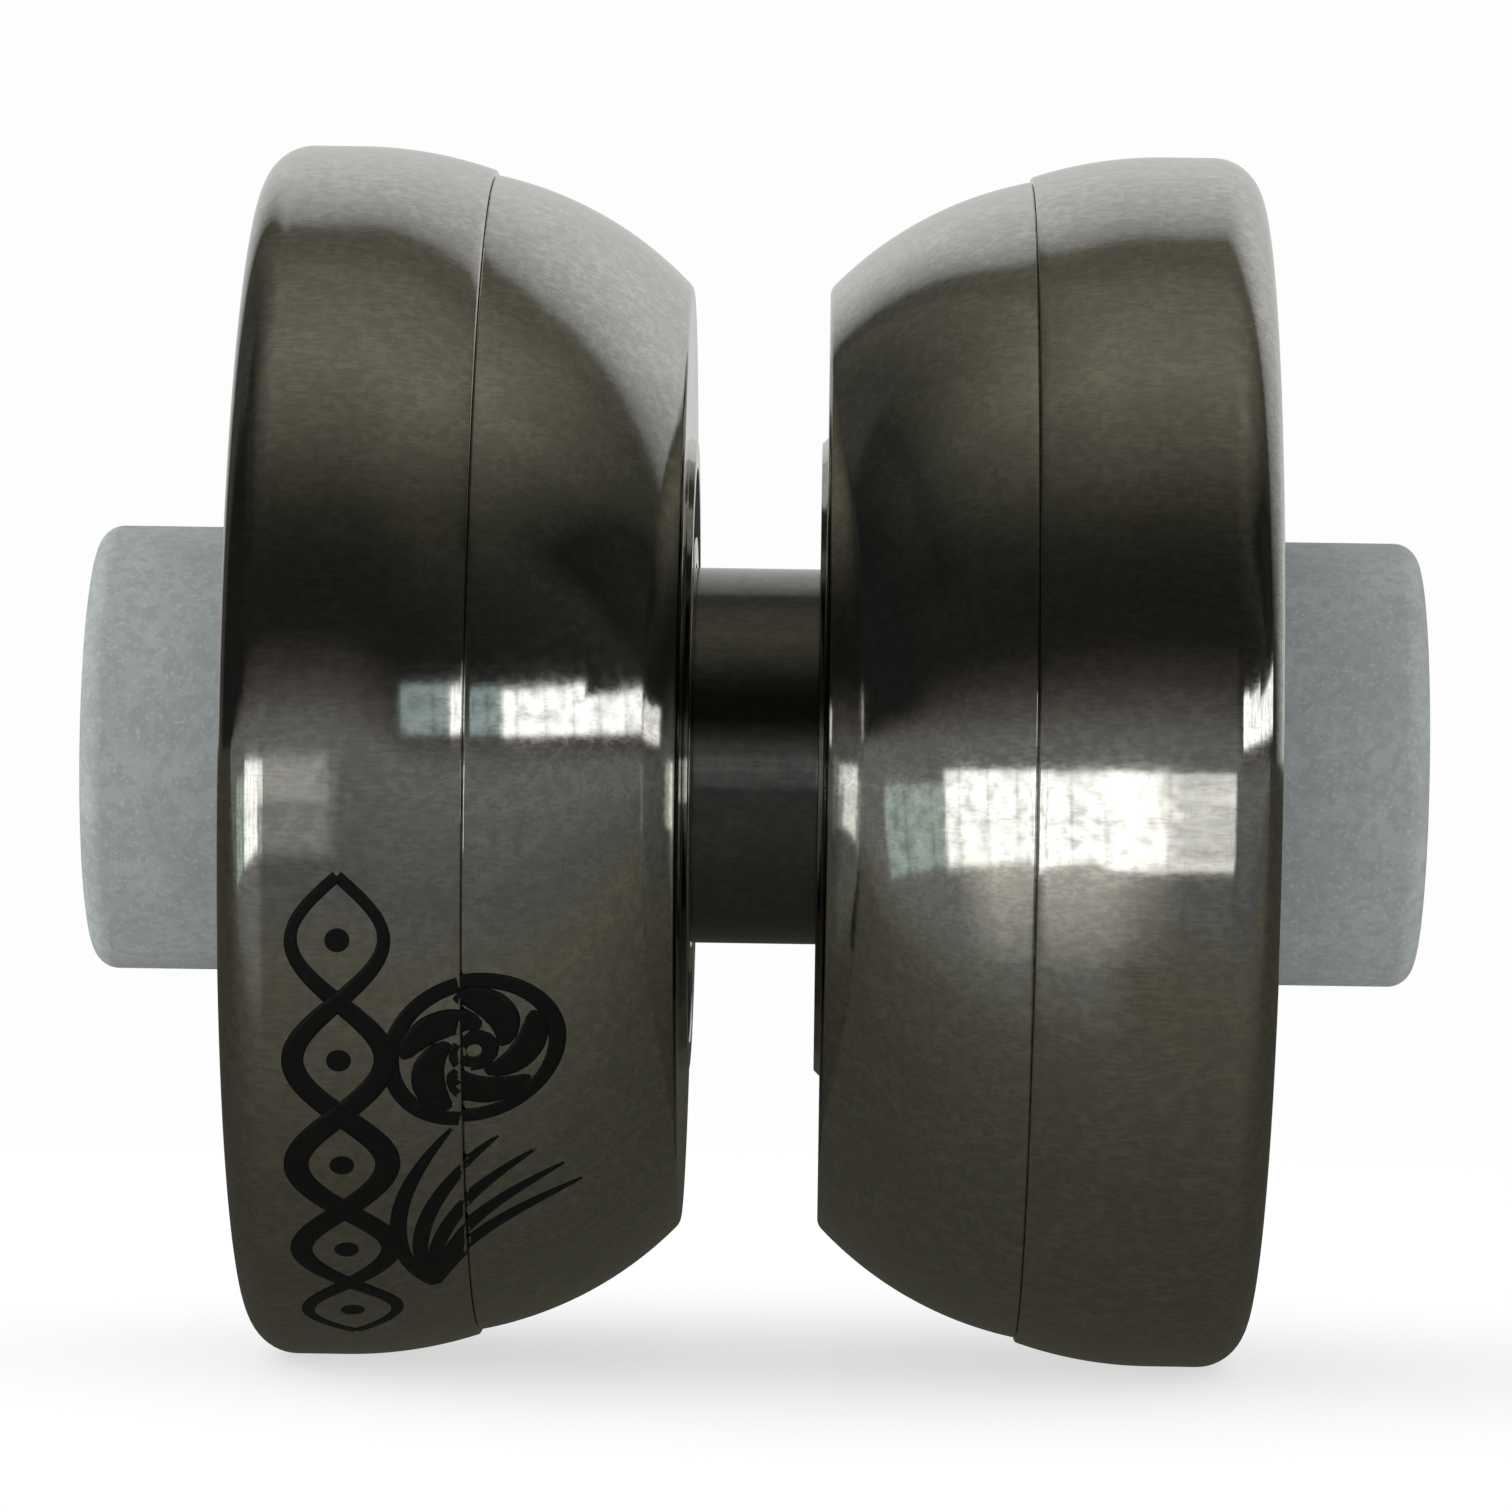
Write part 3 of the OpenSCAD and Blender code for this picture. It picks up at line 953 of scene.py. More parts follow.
# ---- materials ------------------------------------------------------------------------------

# How deep the slow ripple left by polishing is, in groove depths.
RIPPLE = 4
# The depth of the deepest turning marks.
GROOVE_DEPTH = 0.0006 * MM
# How tarnish browns a metal, part by part.
BROWNING = (0.92, 0.88, 0.80)


def new_material(name):
    """An empty material with a Principled shader, and its Object coordinates in millimetres."""
    made = bpy.data.materials.new(name)
    made.use_nodes = True
    tree = made.node_tree
    tree.nodes.clear()
    shader = add(tree, "ShaderNodeBsdfPrincipled")
    add(tree, "ShaderNodeOutputMaterial", {"Surface": Wire(shader.outputs[0])})
    metres = wire(tree, "ShaderNodeTexCoord", output="Object")
    return made, shader, vector_maths("MULTIPLY", metres, (1 / MM,) * 3)


def noise(place, size, detail=2.0, stretch=(1, 1, 1), turned=(0, 0, 0)):
    """Noise whose lumps are about size millimetres, stretched and turned if asked."""
    tree = tree_of(place)
    scale = [1 / (size * part) for part in stretch]
    mapping = {"Vector": place, "Rotation": turned, "Scale": scale}
    spot = wire(tree, "ShaderNodeMapping", mapping, vector_type="POINT")
    return wire(tree, "ShaderNodeTexNoise", {"Vector": spot, "Scale": 1, "Detail": detail})


def turned_noise(place, size, around, detail=2.0):
    """Noise that changes every size millimetres along the outline and slowly round the axis."""
    x, y, z = parts_of(place)
    radius = span(y, z)
    safe = maths("MAXIMUM", radius, 0.01)
    spot = {"Vector": vector(x / size, radius / size, y / safe * around), "W": z / safe * around}
    return wire(
        tree_of(place), "ShaderNodeTexNoise", {**spot, "Scale": 1, "Detail": detail}, noise_dimensions="4D"
    )


def bump(height, distance, strength=1.0):
    """A bumpy normal from a height and the distance that it stands for."""
    rise = {"Height": height, "Distance": distance, "Strength": strength}
    return wire(tree_of(height), "ShaderNodeBump", rise)


def darker(tone, factor):
    """A tone with every part times a factor."""
    return tuple(part * factor for part in tone)


def turned_metal(name, tone, roughness, marks, tarnish=0.12):
    """Metal turned on a lathe and polished: fine rings, faint wear, smudges and a little tarnish."""
    made, shader, place = new_material(name)
    rings = turned_noise(place, 0.09, 1.6)
    bands = turned_noise(place, 0.9, 0.8)
    smudges = noise(place, 3.2, 4.0)
    mottle = noise(place, 0.34, 4.0)
    ripple = noise(place, 1.1, 1.0)
    patches = noise(place, 0.75, 3.0, stretch=(1.8, 1, 1), turned=(0.4, 0.1, 0.2))
    strokes = noise(place, 0.10, 3.0, stretch=(5, 1, 1), turned=(0, 0.12, 0.15))
    scuffs = noise(place, 0.11, 2.0, stretch=(14, 1, 1), turned=(0.3, 0.2, 0.5))
    cross = noise(place, 0.13, 2.0, stretch=(1, 9, 9), turned=(0.1, -0.4, 0.2))
    worn = between(scuffs, 0.60, 0.75) + between(cross, 0.62, 0.78)
    stained = between(smudges, 0.42, 0.75) * between(mottle, 0.3, 0.7, 0.4, 1)
    grain = mottle * 0.5 + strokes * 0.5
    brown = tuple(part * share for part, share in zip(tone, BROWNING))
    toned = blend(maths("MULTIPLY", stained, tarnish * 4, clamp=True), tone, brown)
    toned = blend(between(patches, 0.38, 0.62, 0, 0.6), toned, darker(tone, 0.82))
    toned = blend(between(grain, 0.40, 0.60, 1, 0), toned, darker(tone, 0.76))
    toned = blend(maths("MULTIPLY", worn, 0.35, clamp=True), toned, darker(tone, 0.6))
    spread = between(smudges, 0.3, 0.75, 0, 0.03) + worn * 0.03 + between(grain, 0.38, 0.62, 0, 0.02)
    height = rings * marks + bands * marks - worn * (0.15 * marks)
    height = height + ripple * (RIPPLE * marks) + strokes * (0.2 * marks)
    fill(shader, {
        "Metallic": 1, "Base Color": toned, "Roughness": spread + roughness,
        "Normal": bump(height, GROOVE_DEPTH),
    })
    return made


def frosted_plastic(name, tone):
    """Moulded plastic with a fine matt grain that lets a little light in."""
    made, shader, place = new_material(name)
    grain = noise(place, 0.16, 3.0)
    cloud = noise(place, 2.2, 3.0)
    speckle = noise(place, 0.38, 3.0)
    rings = turned_noise(place, 0.35, 0.7)
    toned = blend(between(cloud, 0.3, 0.7), darker(tone, 0.92), darker(tone, 1.08))
    toned = blend(between(speckle, 0.42, 0.62, 0, 0.7), toned, darker(tone, 0.84))
    toned = blend(between(grain, 0.55, 0.68, 0, 0.6), toned, darker(tone, 1.28))
    fill(shader, {
        "Subsurface Weight": 0.25, "Subsurface Radius": (1.0, 1.0, 0.9), "Subsurface Scale": 0.9 * MM,
        "Specular IOR Level": 0.35, "IOR": 1.49, "Base Color": toned,
        "Roughness": between(grain, 0.3, 0.7, 0.5, 0.66),
        "Normal": bump(grain + rings * 0.5 + speckle, 0.012 * MM, 0.9),
    })
    return made


def silicone(name, tone):
    """Soft black rubber with a fine grain and a little dust."""
    made, shader, place = new_material(name)
    grain = noise(place, 0.09, 3.0)
    dust = between(noise(place, 0.8, 4.0), 0.55, 0.8, 0, 0.5)
    fill(shader, {
        "Specular IOR Level": 0.4, "Base Color": blend(dust, tone, (0.07, 0.068, 0.064)),
        "Roughness": between(grain, 0.3, 0.7, 0.55, 0.75), "Normal": bump(grain, 0.008 * MM, 0.8),
    })
    return made


def blackened(name, tone, metallic, gloss):
    """A thin dark oxide: almost black, and paler where it has rubbed."""
    made, shader, place = new_material(name)
    grain = noise(place, 0.07, 2.0)
    rubbed = between(noise(place, 0.5, 4.0), 0.55, 0.85, 0, 0.5)
    fill(shader, {
        "Metallic": metallic, "Specular IOR Level": gloss,
        "Base Color": blend(rubbed, tone, darker(tone, 2.6)),
        "Roughness": between(grain, 0.3, 0.7, 0.32, 0.5), "Normal": bump(grain, 0.002 * MM, 0.6),
    })
    return made


@cache
def finishes():
    """The materials, made the first time that they are needed."""
    finish = settings().finish
    polish, marks = finish.metal_roughness, finish.turning
    return {
        "cup": turned_metal("polished cup metal", tuple(finish.cup_metal), polish, marks),
        "rim": turned_metal("polished rim metal", tuple(finish.rim_metal), polish, marks),
        # The races, balls and shields take the bearing's tone, which is darkened to paint the shade in the
        # gap between the halves.
        "race": turned_metal("ground bearing steel with painted shade", tuple(finish.bearing), 0.08, marks * 3),
        "ball": turned_metal("polished ball steel", darker(finish.bearing, 1.5), 0.05, marks * 0.1, 0.02),
        "shield": turned_metal("pressed shield steel", darker(finish.bearing, 1.3), 0.22, marks, 0.05),
        "cage": turned_metal("satin cage brass", tuple(finish.brass), 0.3, marks * 2, 0.1),
        # The cap's tone is its own grey, set darker to paint part of the shade on the caps' fronts.
        "cap": frosted_plastic("frosted cap plastic", tuple(finish.cap_plastic)),
        "pad": silicone("black silicone", tuple(finish.pad)),
        "screw": blackened("black oxide steel", tuple(finish.screw), 0.6, 0.5),
        "etch": blackened("etched oxide", tuple(finish.etch), 0, 0.15),
    }


# ---- operators ------------------------------------------------------------------------------

# Faces round the smaller turned pieces.
CAP_SEGMENTS = 192
PAD_SEGMENTS = 160
RACE_SEGMENTS = 160
SHIELD_SEGMENTS = 128
SCREW_SEGMENTS = 72
# The distance between rows of points along the thread, and the cone at each end of the screw.
THREAD_ROW = 0.07 * MM
SCREW_CONE = 0.5 * MM


class MakesPieces:
    """What the operators share."""

    bl_options = {"REGISTER", "UNDO"}


class TOY_OT_cups(MakesPieces, bpy.types.Operator):
    """Turn the two cups, with their gap faces, bearing seats and side recesses"""

    bl_idname = "toy.cups"
    bl_label = "Cups"

    def execute(self, context):
        turned_pair("cup", "turned", cup_outline(settings().cup), "cup")
        return {"FINISHED"}


class TOY_OT_rim_rings(MakesPieces, bpy.types.Operator):
    """Turn the two heavy rim rings"""

    bl_idname = "toy.rim_rings"
    bl_label = "Rim rings"

    def execute(self, context):
        turned_pair("rim_ring", "turned", ring_outline(settings().ring), "rim")
        return {"FINISHED"}


class TOY_OT_side_caps(MakesPieces, bpy.types.Operator):
    """Mould the cap at each end, with its finger dimple and the seat of its bearing"""

    bl_idname = "toy.side_caps"
    bl_label = "Side caps"

    def execute(self, context):
        points = cap_outline(settings().cap)
        turned_pair("side_cap", "moulded", points, "cap", CAP_SEGMENTS, "{side}_cap")
        return {"FINISHED"}


class TOY_OT_response_pads(MakesPieces, bpy.types.Operator):
    """Set a silicone ring in the groove of each gap face"""

    bl_idname = "toy.response_pads"
    bl_label = "Response pads"

    def execute(self, context):
        start, end = low("right_response_pad"), high("right_response_pad")
        points = washer(PAD_INNER, end.z, start.x, end.x, BORE_EDGE)
        turned_pair("response_pad", "cast", points, "pad", PAD_SEGMENTS)
        return {"FINISHED"}


class TOY_OT_bearings(MakesPieces, bpy.types.Operator):
    """Build the string bearing and the two cap bearings: races, balls, shields and snap rings"""

    bl_idname = "toy.bearings"
    bl_label = "Bearings"

    def execute(self, context):
        self.bearing(STRING_BEARING, "string_bearing_outer", "string_bearing_ball_set")
        self.bearing(RIGHT_CAP_BEARING, "right_cap", "right_cap_ball_set")
        self.bearing(LEFT_CAP_BEARING, "left_cap", "left_cap_ball_set")
        return {"FINISHED"}

    def part(self, bearing, part, how, mesh, body):
        """Adds one part of a bearing."""
        node = f"{bearing.prefix}_{part}"
        piece(f"{node}_{how}", mesh, body, node)

    def bearing(self, bearing, outer_body, ball_body):
        """Builds one bearing round its centre."""
        start, end = (side(f"{bearing.prefix}_outer_race") for side in (low, high))
        half_width = (end.x - start.x) / 2
        parts = finishes()

        def turned(points, material, segments):
            """A part turned from an outline round the bearing's centre."""
            return turn(moved(points, 1, bearing.centre), parts[material], segments)

        inner = turned(inner_race_outline(bearing, half_width), "race", RACE_SEGMENTS)
        outer = turned(outer_race_outline(bearing, half_width, end.z), "race", RACE_SEGMENTS)
        self.part(bearing, "inner_race", "ground", inner, "halves")
        self.part(bearing, "outer_race", "ground", outer, outer_body)
        points = washer(
            bearing.circle - RACE_GAP + SHIELD_GAP, bearing.circle + RACE_GAP + bearing.shield_reach,
            bearing.shield_x + PRESS, bearing.shield_x + SHIELD_THICKNESS, SOFT_EDGE,
        )
        shields = [turned(moved(points, side), "shield", SHIELD_SEGMENTS) for side in (1, -1)]
        self.part(bearing, "shields", "pressed", joined(shields), outer_body)
        if bearing.snap_rings:
            rings = run_tree(
                snap_ring_tree(), Width=SNAP_WIDTH, Thickness=SNAP_THICKNESS, Gap=SNAP_GAP,
                Radius=bearing.circle + RACE_GAP + bearing.shield_reach + SNAP_GROOVE - SNAP_WIDTH / 2,
                Place=bearing.shield_x + SHIELD_THICKNESS + SLIP + SNAP_PLAY + SNAP_THICKNESS / 2,
                Material=parts["shield"],
            )
            self.part(bearing, "snap_rings", "sprung", outward(rings), outer_body)
        balls = run_tree(
            ball_ring_tree(), Balls=bearing.balls, Ball_radius=BALL_RADIUS,
            Circle_radius=bearing.circle, Centre=bearing.centre, Material=parts["ball"],
        )
        self.part(bearing, "balls", "lapped", outward(balls), ball_body)
        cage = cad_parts[f"{bearing.prefix}_cage"]
        cage.data.materials.clear()
        cage.data.materials.append(parts["cage"])


class TOY_OT_axle_screw(MakesPieces, bpy.types.Operator):
    """Cut the threaded grub screw that joins the halves"""

    bl_idname = "toy.axle_screw"
    bl_label = "Axle screw"

    def execute(self, context):
        screw, material = settings().screw, finishes()["screw"]
        end = high("axle_screw")
        shank_end, tip = end.x - SCREW_CONE, end.z - SCREW_CONE
        rows = round(2 * shank_end / THREAD_ROW)
        shank = [Vector((-shank_end + i * 2 * shank_end / rows, end.z)) for i in range(rows + 1)]
        cones = [[Vector((side * end.x, 0)), Vector((side * end.x, tip))] for side in (-1, 1)]
        mesh = run_tree(
            thread_tree(), turn(cones[0] + shank + cones[1][::-1], material, SCREW_SEGMENTS),
            Pitch=screw.pitch, Depth=screw.thread_depth, Radius=end.z, Half_length=end.x,
            Hex_width=screw.hex_width, Hex_depth=screw.hex_depth, Material=material,
        )
        piece("axle_screw_threaded", outward(mesh), "halves", "axle_screw")
        return {"FINISHED"}


class TOY_OT_etched_mark(MakesPieces, bpy.types.Operator):
    """Etch the abstract swirl and twisted cord into the front of the left half"""

    bl_idname = "toy.etched_mark"
    bl_label = "Etched mark"

    def execute(self, context):
        mark = settings().mark
        turned = ("left_cup_turned", "left_rim_ring_turned")
        mesh = run_tree(
            mark_tree(), joined([bpy.data.objects[name].data.copy() for name in turned]),
            Radius=mark.radius, Stroke=mark.stroke, Blades=mark.blades, Streaks=mark.streaks,
            Centre_x=mark.centre_x, Centre_angle=mark.centre_angle, Rim_radius=high("left_rim_ring").z,
            Material=finishes()["etch"],
        )
        piece("left_etched_mark", outward(mesh), "halves")
        return {"FINISHED"}


# ---- stage ----------------------------------------------------------------------------------

# What the polish mirrors, by height round the spin axis in degrees: 0 is level with the camera,
# 90 is overhead, -90 is underneath, and 180 is behind. Each stop is a height, a level and a tint.
NEUTRAL = (1, 1, 0.98)
OLIVE = (1, 0.965, 0.74)
UMBER = (1, 0.92, 0.82)
SURROUND = (
    (-180, 0.055, OLIVE), (-120, 0.058, OLIVE), (-90, 0.066, OLIVE), (-74, 0.078, OLIVE),
    (-55, 0.098, OLIVE), (-42, 0.115, OLIVE), (-22, 0.115, NEUTRAL), (-14, 0.14, NEUTRAL),
    (2, 0.175, NEUTRAL), (5, 0.16, NEUTRAL), (10, 0.10, UMBER), (16, 0.045, UMBER),
    (22, 0.018, UMBER), (30, 0.016, OLIVE), (38, 0.020, OLIVE), (45, 0.031, OLIVE),
    (53, 0.064, OLIVE), (61, 0.11, OLIVE), (70, 0.155, OLIVE), (79, 0.205, OLIVE),
    (88, 0.19, OLIVE), (100, 0.165, OLIVE), (108, 0.12, OLIVE), (115, 0.125, OLIVE),
    (118.5, 0.31, NEUTRAL), (127, 0.51, NEUTRAL), (137, 0.62, NEUTRAL), (148, 0.68, NEUTRAL),
    (165, 0.62, NEUTRAL), (179.9, 0.62, NEUTRAL),
)
HIGHEST = SURROUND[-1][0]

# How the surround's heights shift across the toy, in degrees across and of height: up on the
# right, and down on the left with the square of the distance from where it starts. Only what is
# above LEVEL_TOP sinks, and no further than to it.
RISE_RIGHT = (0, 25, 0, 8)
SINK_FROM = 8
SINK_LEFT = (60, 108, 0, -0.06)
LEVEL_TOP = 100

# The dark ends overhead: the heights that they come in at, where each fades across and the shares
# of the surround that are left there, their tone, and how far the right one leans inwards for each
# degree below its foot.
ENDS_HEIGHT = (30, 50)
RIGHT_END = (28, 66, 1, 0.05)
LEFT_END = (-47, -14, 0.12, 1)
ENDS_TONE = (0.01, 0.01, 0.009)
END_FOOT = 95
END_LEAN = 0.5
LEAST_LEAN = -8

# Shapes at the left of the surround: where each fades out across, the heights that it comes in
# and goes out at, and its tone.
WINGS = (
    ((-20, -6), (-62, -34), (-5, 0), (0.19, 0.19, 0.18)),
    ((-45, -32), (108, 116), None, (0.055, 0.054, 0.048)),
    ((-62, -50), (8, 20), None, (0.014, 0.014, 0.013)),
)
# Windows that the polish mirrors: azimuths, elevations, softness of the edge, and colour. Those
# brighter than PANED have panes.
PANED = 0.4
WINDOWS = (
    ((-10, 0), (-19, -10), 5, (0.28, 0.28, 0.27)),
    ((-10, 0), (-10, -1), 5, (0.5, 0.5, 0.48)),
    ((18, 31.5), (3, 12), 1, (0.42, 0.52, 0.52)),
    ((31.5, 58), (3, 11.3), 1, (2.0, 2.0, 2.0)),
    ((58, 95), (3, 9), 1, (2.0, 2.0, 2.0)),
    ((-70, -50), (-18, -4), 1, (0.5, 0.6, 0.54)),
    ((-49.5, -18), (-18.5, -2), 1, (2.0, 2.05, 2.0)),
    ((-18, -10), (-19, -10), 1, (0.6, 0.61, 0.6)),
    ((-18, -10), (-10, -2), 1, (1.4, 1.42, 1.4)),
)
# The level of the light on matt pieces, from the left side to the right.
SOFT_LEVELS = (1.75, 0.72)

# Lights that only the right half mirrors: name, azimuths, elevations, the level at the low and the
# high edge, tint, and fades across, each between two azimuths and from one share to another. A
# light whose two levels are alike has panes.
WINDOW_TINT = (1, 1, 0.97)
GLOW_TINT = (1, 0.97, 0.86)
SIDE_LIGHTS = (
    ("level window", (-18, 10), (-20, -2), (2.1, 2.1), WINDOW_TINT, ((-18, -9, 0.4, 1), (-9, 10, 1, 0.2))),
    ("window glow", (-46, 10), (-38, -18), (0.02, 0.45), GLOW_TINT, ((-46, -34, 0, 1), (-16, 6, 1, 0))),
    ("rim glint", (19, 31.5), (2.5, 12), (1.9, 1.9), WINDOW_TINT, ()),
)

# The panes: the spacing of the bars, and the elevation of the rail.
BAR_SPACING = 4.5
RAIL_ELEVATION = -11

# The share of the floor's tone that the toy's shadow can take away, and the distance from the
# middle at which the floor starts to melt into the background and is gone.
FLOOR_SHADE = 0.35
FLOOR_FADE = (0.05, 0.16)


def surround_ramp(tree, height):
    """The surround's colour at a height."""
    ramp = add(tree, "ShaderNodeValToRGB", {0: straight(height, -180, 180)})
    stops = ramp.color_ramp.elements
    while len(stops) < len(SURROUND):
        stops.new(1)
    for stop, (angle, level, tint) in zip(stops, SURROUND):
        stop.position = (angle + 180) / 360
        stop.color = (*[level * part for part in tint], 1)
    return Wire(ramp.outputs[0])


def opening(azimuth, elevation, azimuths, elevations, feather):
    """A mask for a bright rectangle, in degrees of azimuth and elevation."""
    masks = [
        between(angle, edge - feather / 2, edge + feather / 2, *levels)
        for angle, edges in ((azimuth, azimuths), (elevation, elevations))
        for edge, levels in zip(edges, ((0, 1), (1, 0)))
    ]
    return masks[0] * masks[1] * masks[2] * masks[3]


def window_bars(azimuth, elevation):
    """Soft bars and uneven brightness, as of panes with something behind them."""
    upright = between(maths("PINGPONG", azimuth + 20 * BAR_SPACING, BAR_SPACING), 0.15, 0.5, 0.5, 1)
    rail = between(maths("ABSOLUTE", elevation - RAIL_ELEVATION), 0.2, 0.7, 0.7, 1)
    spot = vector(azimuth * 0.25, elevation * 0.4)
    cloud = wire(tree_of(spot), "ShaderNodeTexNoise", {"Vector": spot, "Scale": 1, "Detail": 3})
    return upright * rail * between(cloud, 0.3, 0.65, 0.55, 1.1)


def mirrored_surround(x, y, z):
    """What the polish mirrors in a direction: the shaped surround, and the windows on it."""
    across = degrees("ARCSINE", x)
    height = degrees("ARCTAN2", z, y * -1)
    sink = maths("MINIMUM", across + SINK_FROM, 0)
    slope = between(across, *RISE_RIGHT) + sink * sink * between(height, *SINK_LEFT)
    sloped = maths("MAXIMUM", height + slope, maths("MINIMUM", height, LEVEL_TOP))
    tone = surround_ramp(tree_of(x), maths("MINIMUM", sloped, HIGHEST))
    lean = across + maths("MAXIMUM", (END_FOOT - height) * END_LEAN, LEAST_LEAN)
    kept = straight(lean, *RIGHT_END) * straight(across, *LEFT_END)
    tone = blend(between(height, *ENDS_HEIGHT) * (1 - kept), tone, ENDS_TONE)
    for across_fade, rising, falling, wing in WINGS:
        mask = between(across, *across_fade, 1, 0) * between(height, *rising)
        if falling:
            mask = mask * between(height, *falling, 1, 0)
        tone = blend(mask, tone, wing)
    azimuth, elevation = degrees("ARCTAN2", x, y * -1), degrees("ARCSINE", z)
    bars = window_bars(azimuth, elevation)
    for azimuths, elevations, feather, light in WINDOWS:
        lit = blend(bars, (0, 0, 0), light) if max(light) > PANED else light
        tone = blend(opening(azimuth, elevation, azimuths, elevations, feather), tone, lit)
    return tone


def studio_world(stage):
    """A pale surround: white to the eye, soft on matt pieces, and shaped where polish mirrors it."""
    world = bpy.data.worlds.new("studio")
    world.use_nodes = True
    world.cycles.sampling_method = "NONE"
    tree = world.node_tree
    tree.nodes.clear()
    x, y, z = parts_of(wire(tree, "ShaderNodeTexCoord", output="Generated"))
    pale = tuple(stage.pale)
    soft = blend(straight(x, -1, 1, *SOFT_LEVELS), (0, 0, 0), pale, clamp_factor=False)
    path = add(tree, "ShaderNodeLightPath").outputs
    seen = blend(Wire(path["Is Diffuse Ray"]), mirrored_surround(x, y, z), soft)
    seen = blend(Wire(path["Is Camera Ray"]), seen, pale)
    background = wire(tree, "ShaderNodeBackground", {"Color": seen, "Strength": 1})
    add(tree, "ShaderNodeOutputWorld", {"Surface": background})
    return world


def stage_floor(stage):
    """A round pale floor that melts into the background at its edge."""
    mesh = bpy.data.meshes.new("floor")
    work = bmesh.new()
    bmesh.ops.create_circle(work, cap_ends=True, segments=96, radius=stage.floor_radius)
    bmesh.ops.translate(work, verts=work.verts, vec=(0, 0, low("right_rim_ring").z))
    work.to_mesh(mesh)
    work.free()
    made, shader, place = new_material("pale floor")
    pale = tuple(stage.pale)
    fill(shader, {
        "Base Color": (*darker(pale, FLOOR_SHADE), 1), "Roughness": 0.9, "Specular IOR Level": 0,
        "Emission Color": (*pale, 1), "Emission Strength": 1 - FLOOR_SHADE,
    })
    tree = made.node_tree
    far = vector_maths("LENGTH", place) * MM
    clear = wire(tree, "ShaderNodeBsdfTransparent")
    faded = wire(
        tree, "ShaderNodeMixShader", {0: between(far, *FLOOR_FADE), 1: Wire(shader.outputs[0]), 2: clear}
    )
    fill(next(node for node in tree.nodes if node.type == "OUTPUT_MATERIAL"), {"Surface": faded})
    mesh.materials.append(made)
    floor = bpy.data.objects.new("floor", mesh)
    bpy.context.scene.collection.objects.link(floor)
    floor.visible_glossy = False
    floor.visible_shadow = False


def side_light(receivers, name, azimuths, elevations, levels, tint, fades):
    """A soft rectangular light a metre from the toy, mirrored only by the receivers."""
    lamp = bpy.data.lights.new(name, "AREA")
    lamp.shape = "RECTANGLE"
    lamp.size, lamp.size_y = (
        2 * math.tan(math.radians(end - start) / 2) for start, end in (azimuths, elevations)
    )
    lamp.energy = math.pi * lamp.size * lamp.size_y
    lamp.use_nodes = True
    tree = lamp.node_tree
    tree.nodes.clear()
    x, y, z = parts_of(wire(tree, "ShaderNodeNewGeometry", output="Position"))
    across = degrees("ARCTAN2", x, y * -1)
    up = degrees("ARCTAN2", z, span(x, y))
    strength = straight(up, *elevations, *levels)
    if levels[0] == levels[1]:
        strength = window_bars(across, up) * strength
    for fade in fades:
        strength = strength * straight(across, *fade)
    light = wire(tree, "ShaderNodeEmission", {"Color": (*tint, 1), "Strength": strength})
    add(tree, "ShaderNodeOutputLight", {"Surface": light})
    made = bpy.data.objects.new(name.replace(" ", "_"), lamp)
    bpy.context.scene.collection.objects.link(made)
    azimuth, elevation = (math.radians(sum(pair) / 2) for pair in (azimuths, elevations))
    level = Vector((math.sin(azimuth), -math.cos(azimuth), 0)) * math.cos(elevation)
    made.location = level + Vector((0, 0, math.sin(elevation)))
    made.rotation_euler = made.location.to_track_quat("Z", "Y").to_euler()
    made.visible_camera = False
    made.visible_diffuse = False
    made.light_linking.receiver_collection = receivers


def stage_camera(stage):
    """The camera, level with the spin axis."""
    lens = bpy.data.cameras.new("camera")
    lens.sensor_width = 36
    lens.lens = stage.lens
    lens.clip_start = 0.01
    lens.dof.use_dof = False
    made = bpy.data.objects.new("camera", lens)
    bpy.context.scene.collection.objects.link(made)
    away = Vector((math.sin(stage.azimuth), -math.cos(stage.azimuth), 0))
    made.location = away * stage.distance
    turn_to = away.to_track_quat("Z", "Y").to_matrix() @ Matrix.Rotation(stage.roll, 3, "Z")
    made.rotation_euler = turn_to.to_euler()
    bpy.context.scene.camera = made


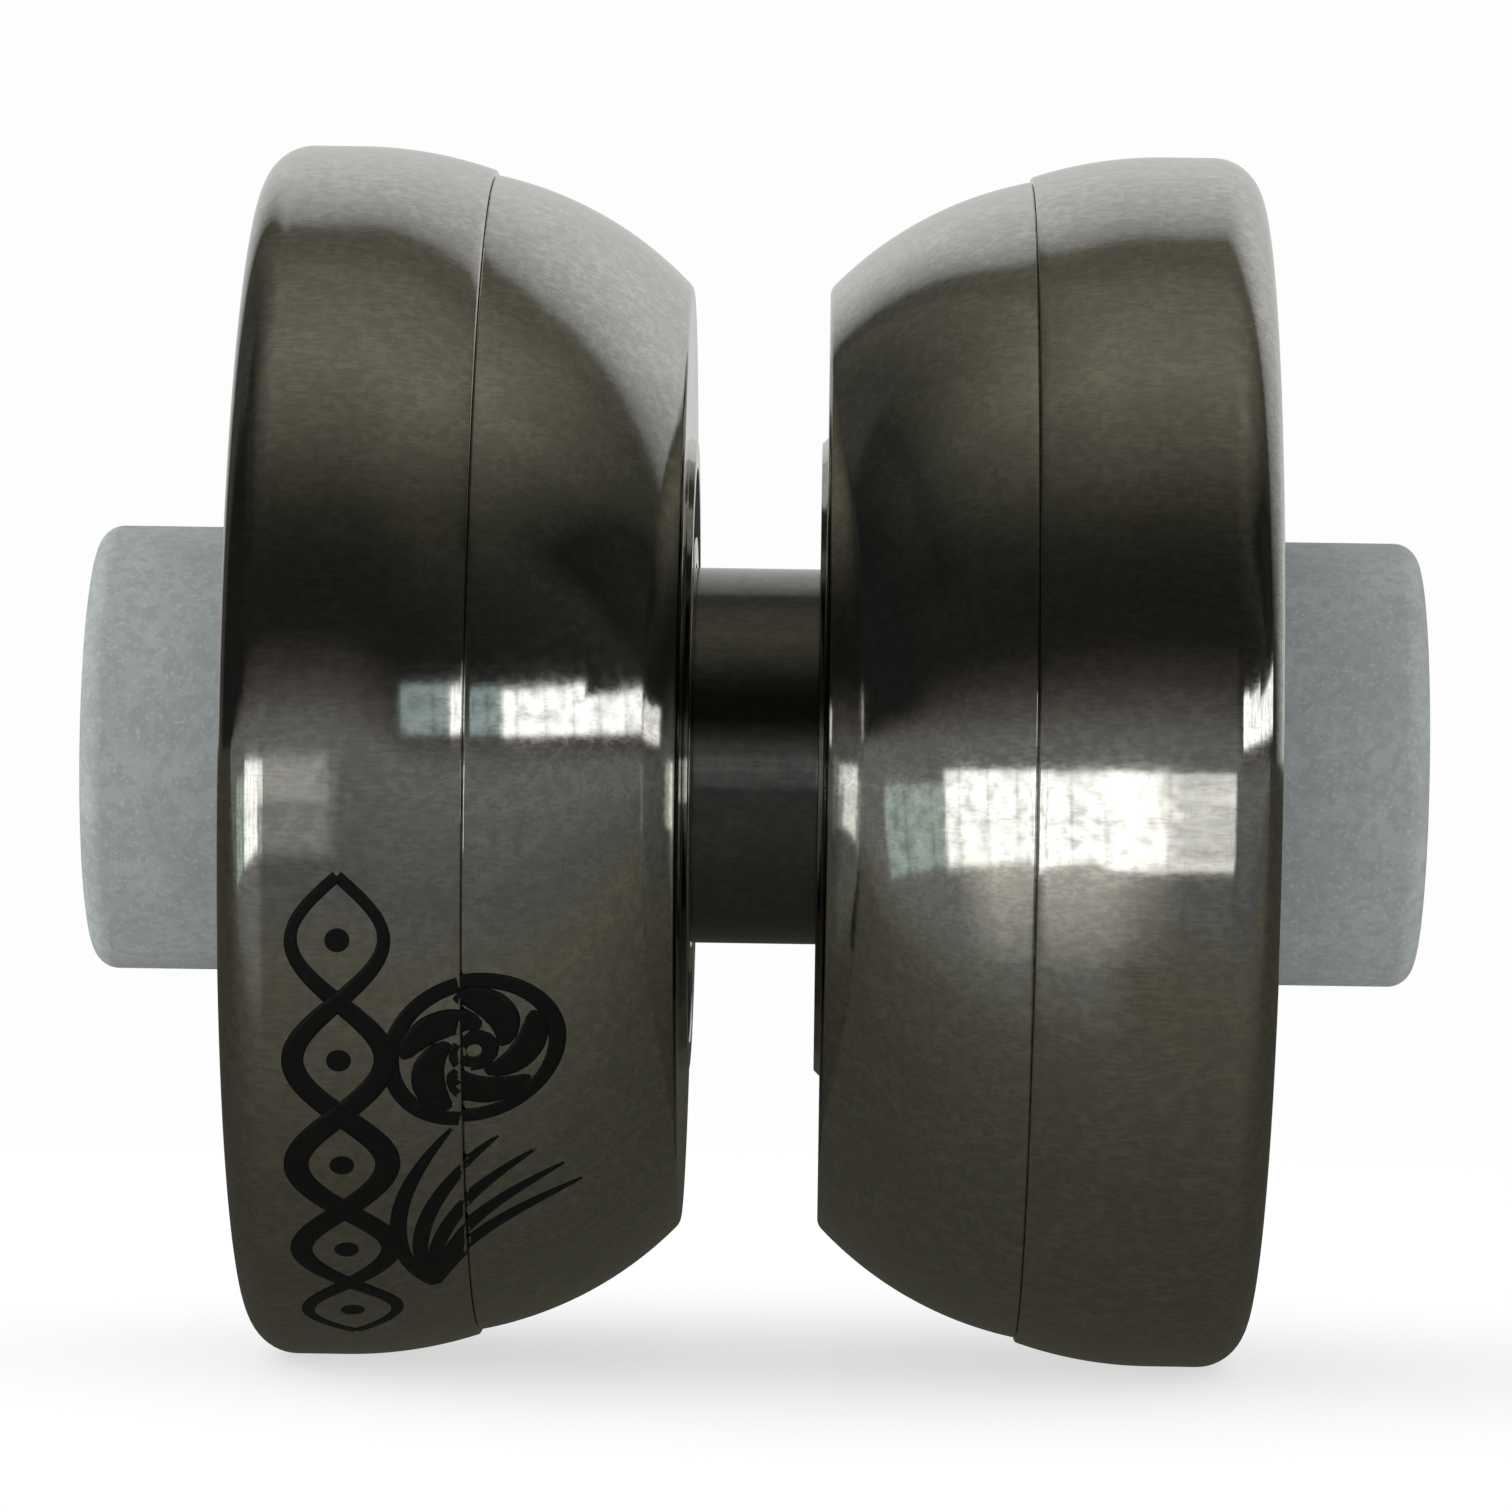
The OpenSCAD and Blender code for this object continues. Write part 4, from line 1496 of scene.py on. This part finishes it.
class TOY_OT_stage(MakesPieces, bpy.types.Operator):
    """Set up the floor, the light and the camera"""

    bl_idname = "toy.stage"
    bl_label = "Stage"

    def execute(self, context):
        stage = settings().stage
        context.scene.world = studio_world(stage)
        context.scene.view_settings.view_transform = "Standard"
        stage_floor(stage)
        lit = bpy.data.collections.new("mirrors the side lights")
        for name in ("right_cup_turned", "right_rim_ring_turned"):
            lit.objects.link(bpy.data.objects[name])
        for light in SIDE_LIGHTS:
            side_light(lit, *light)
        stage_camera(stage)
        return {"FINISHED"}


class TOY_PT_panel(bpy.types.Panel):
    """Lists the pieces and the stage"""

    bl_idname = "TOY_PT_panel"
    bl_label = "Spinning Toy"
    bl_space_type = "VIEW_3D"
    bl_region_type = "UI"
    bl_category = "Spinning Toy"

    def draw(self, context):
        for made in OPERATORS:
            self.layout.operator(made.bl_idname)
        for group in ("cup", "ring", "cap", "screw", "mark", "finish", "stage"):
            box = self.layout.box()
            box.label(text=group.capitalize())
            part = getattr(context.scene.spinning_toy, group)
            for name in part.bl_rna.properties.keys():
                if name not in ("rna_type", "name"):
                    box.prop(part, name)


OPERATORS = (
    TOY_OT_cups, TOY_OT_rim_rings, TOY_OT_side_caps, TOY_OT_response_pads, TOY_OT_bearings,
    TOY_OT_axle_screw, TOY_OT_etched_mark, TOY_OT_stage,
)
CLASSES = (
    CupSettings, RingSettings, CapSettings, ScrewSettings, MarkSettings, FinishSettings,
    StageSettings, ToySettings, *OPERATORS, TOY_PT_panel,
)


def register():
    """Registers the settings, the operators and the panel."""
    for made in CLASSES:
        bpy.utils.register_class(made)
    bpy.types.Scene.spinning_toy = bpy.props.PointerProperty(type=ToySettings)


def unregister():
    """Takes away what register added."""
    del bpy.types.Scene.spinning_toy
    for made in reversed(CLASSES):
        bpy.utils.unregister_class(made)


def main():
    """Makes every piece and the stage."""
    register()
    bpy.ops.toy.cups()
    bpy.ops.toy.rim_rings()
    bpy.ops.toy.side_caps()
    bpy.ops.toy.response_pads()
    bpy.ops.toy.bearings()
    bpy.ops.toy.axle_screw()
    bpy.ops.toy.etched_mark()
    bpy.ops.toy.stage()


if __name__ == "__main__":
    main()
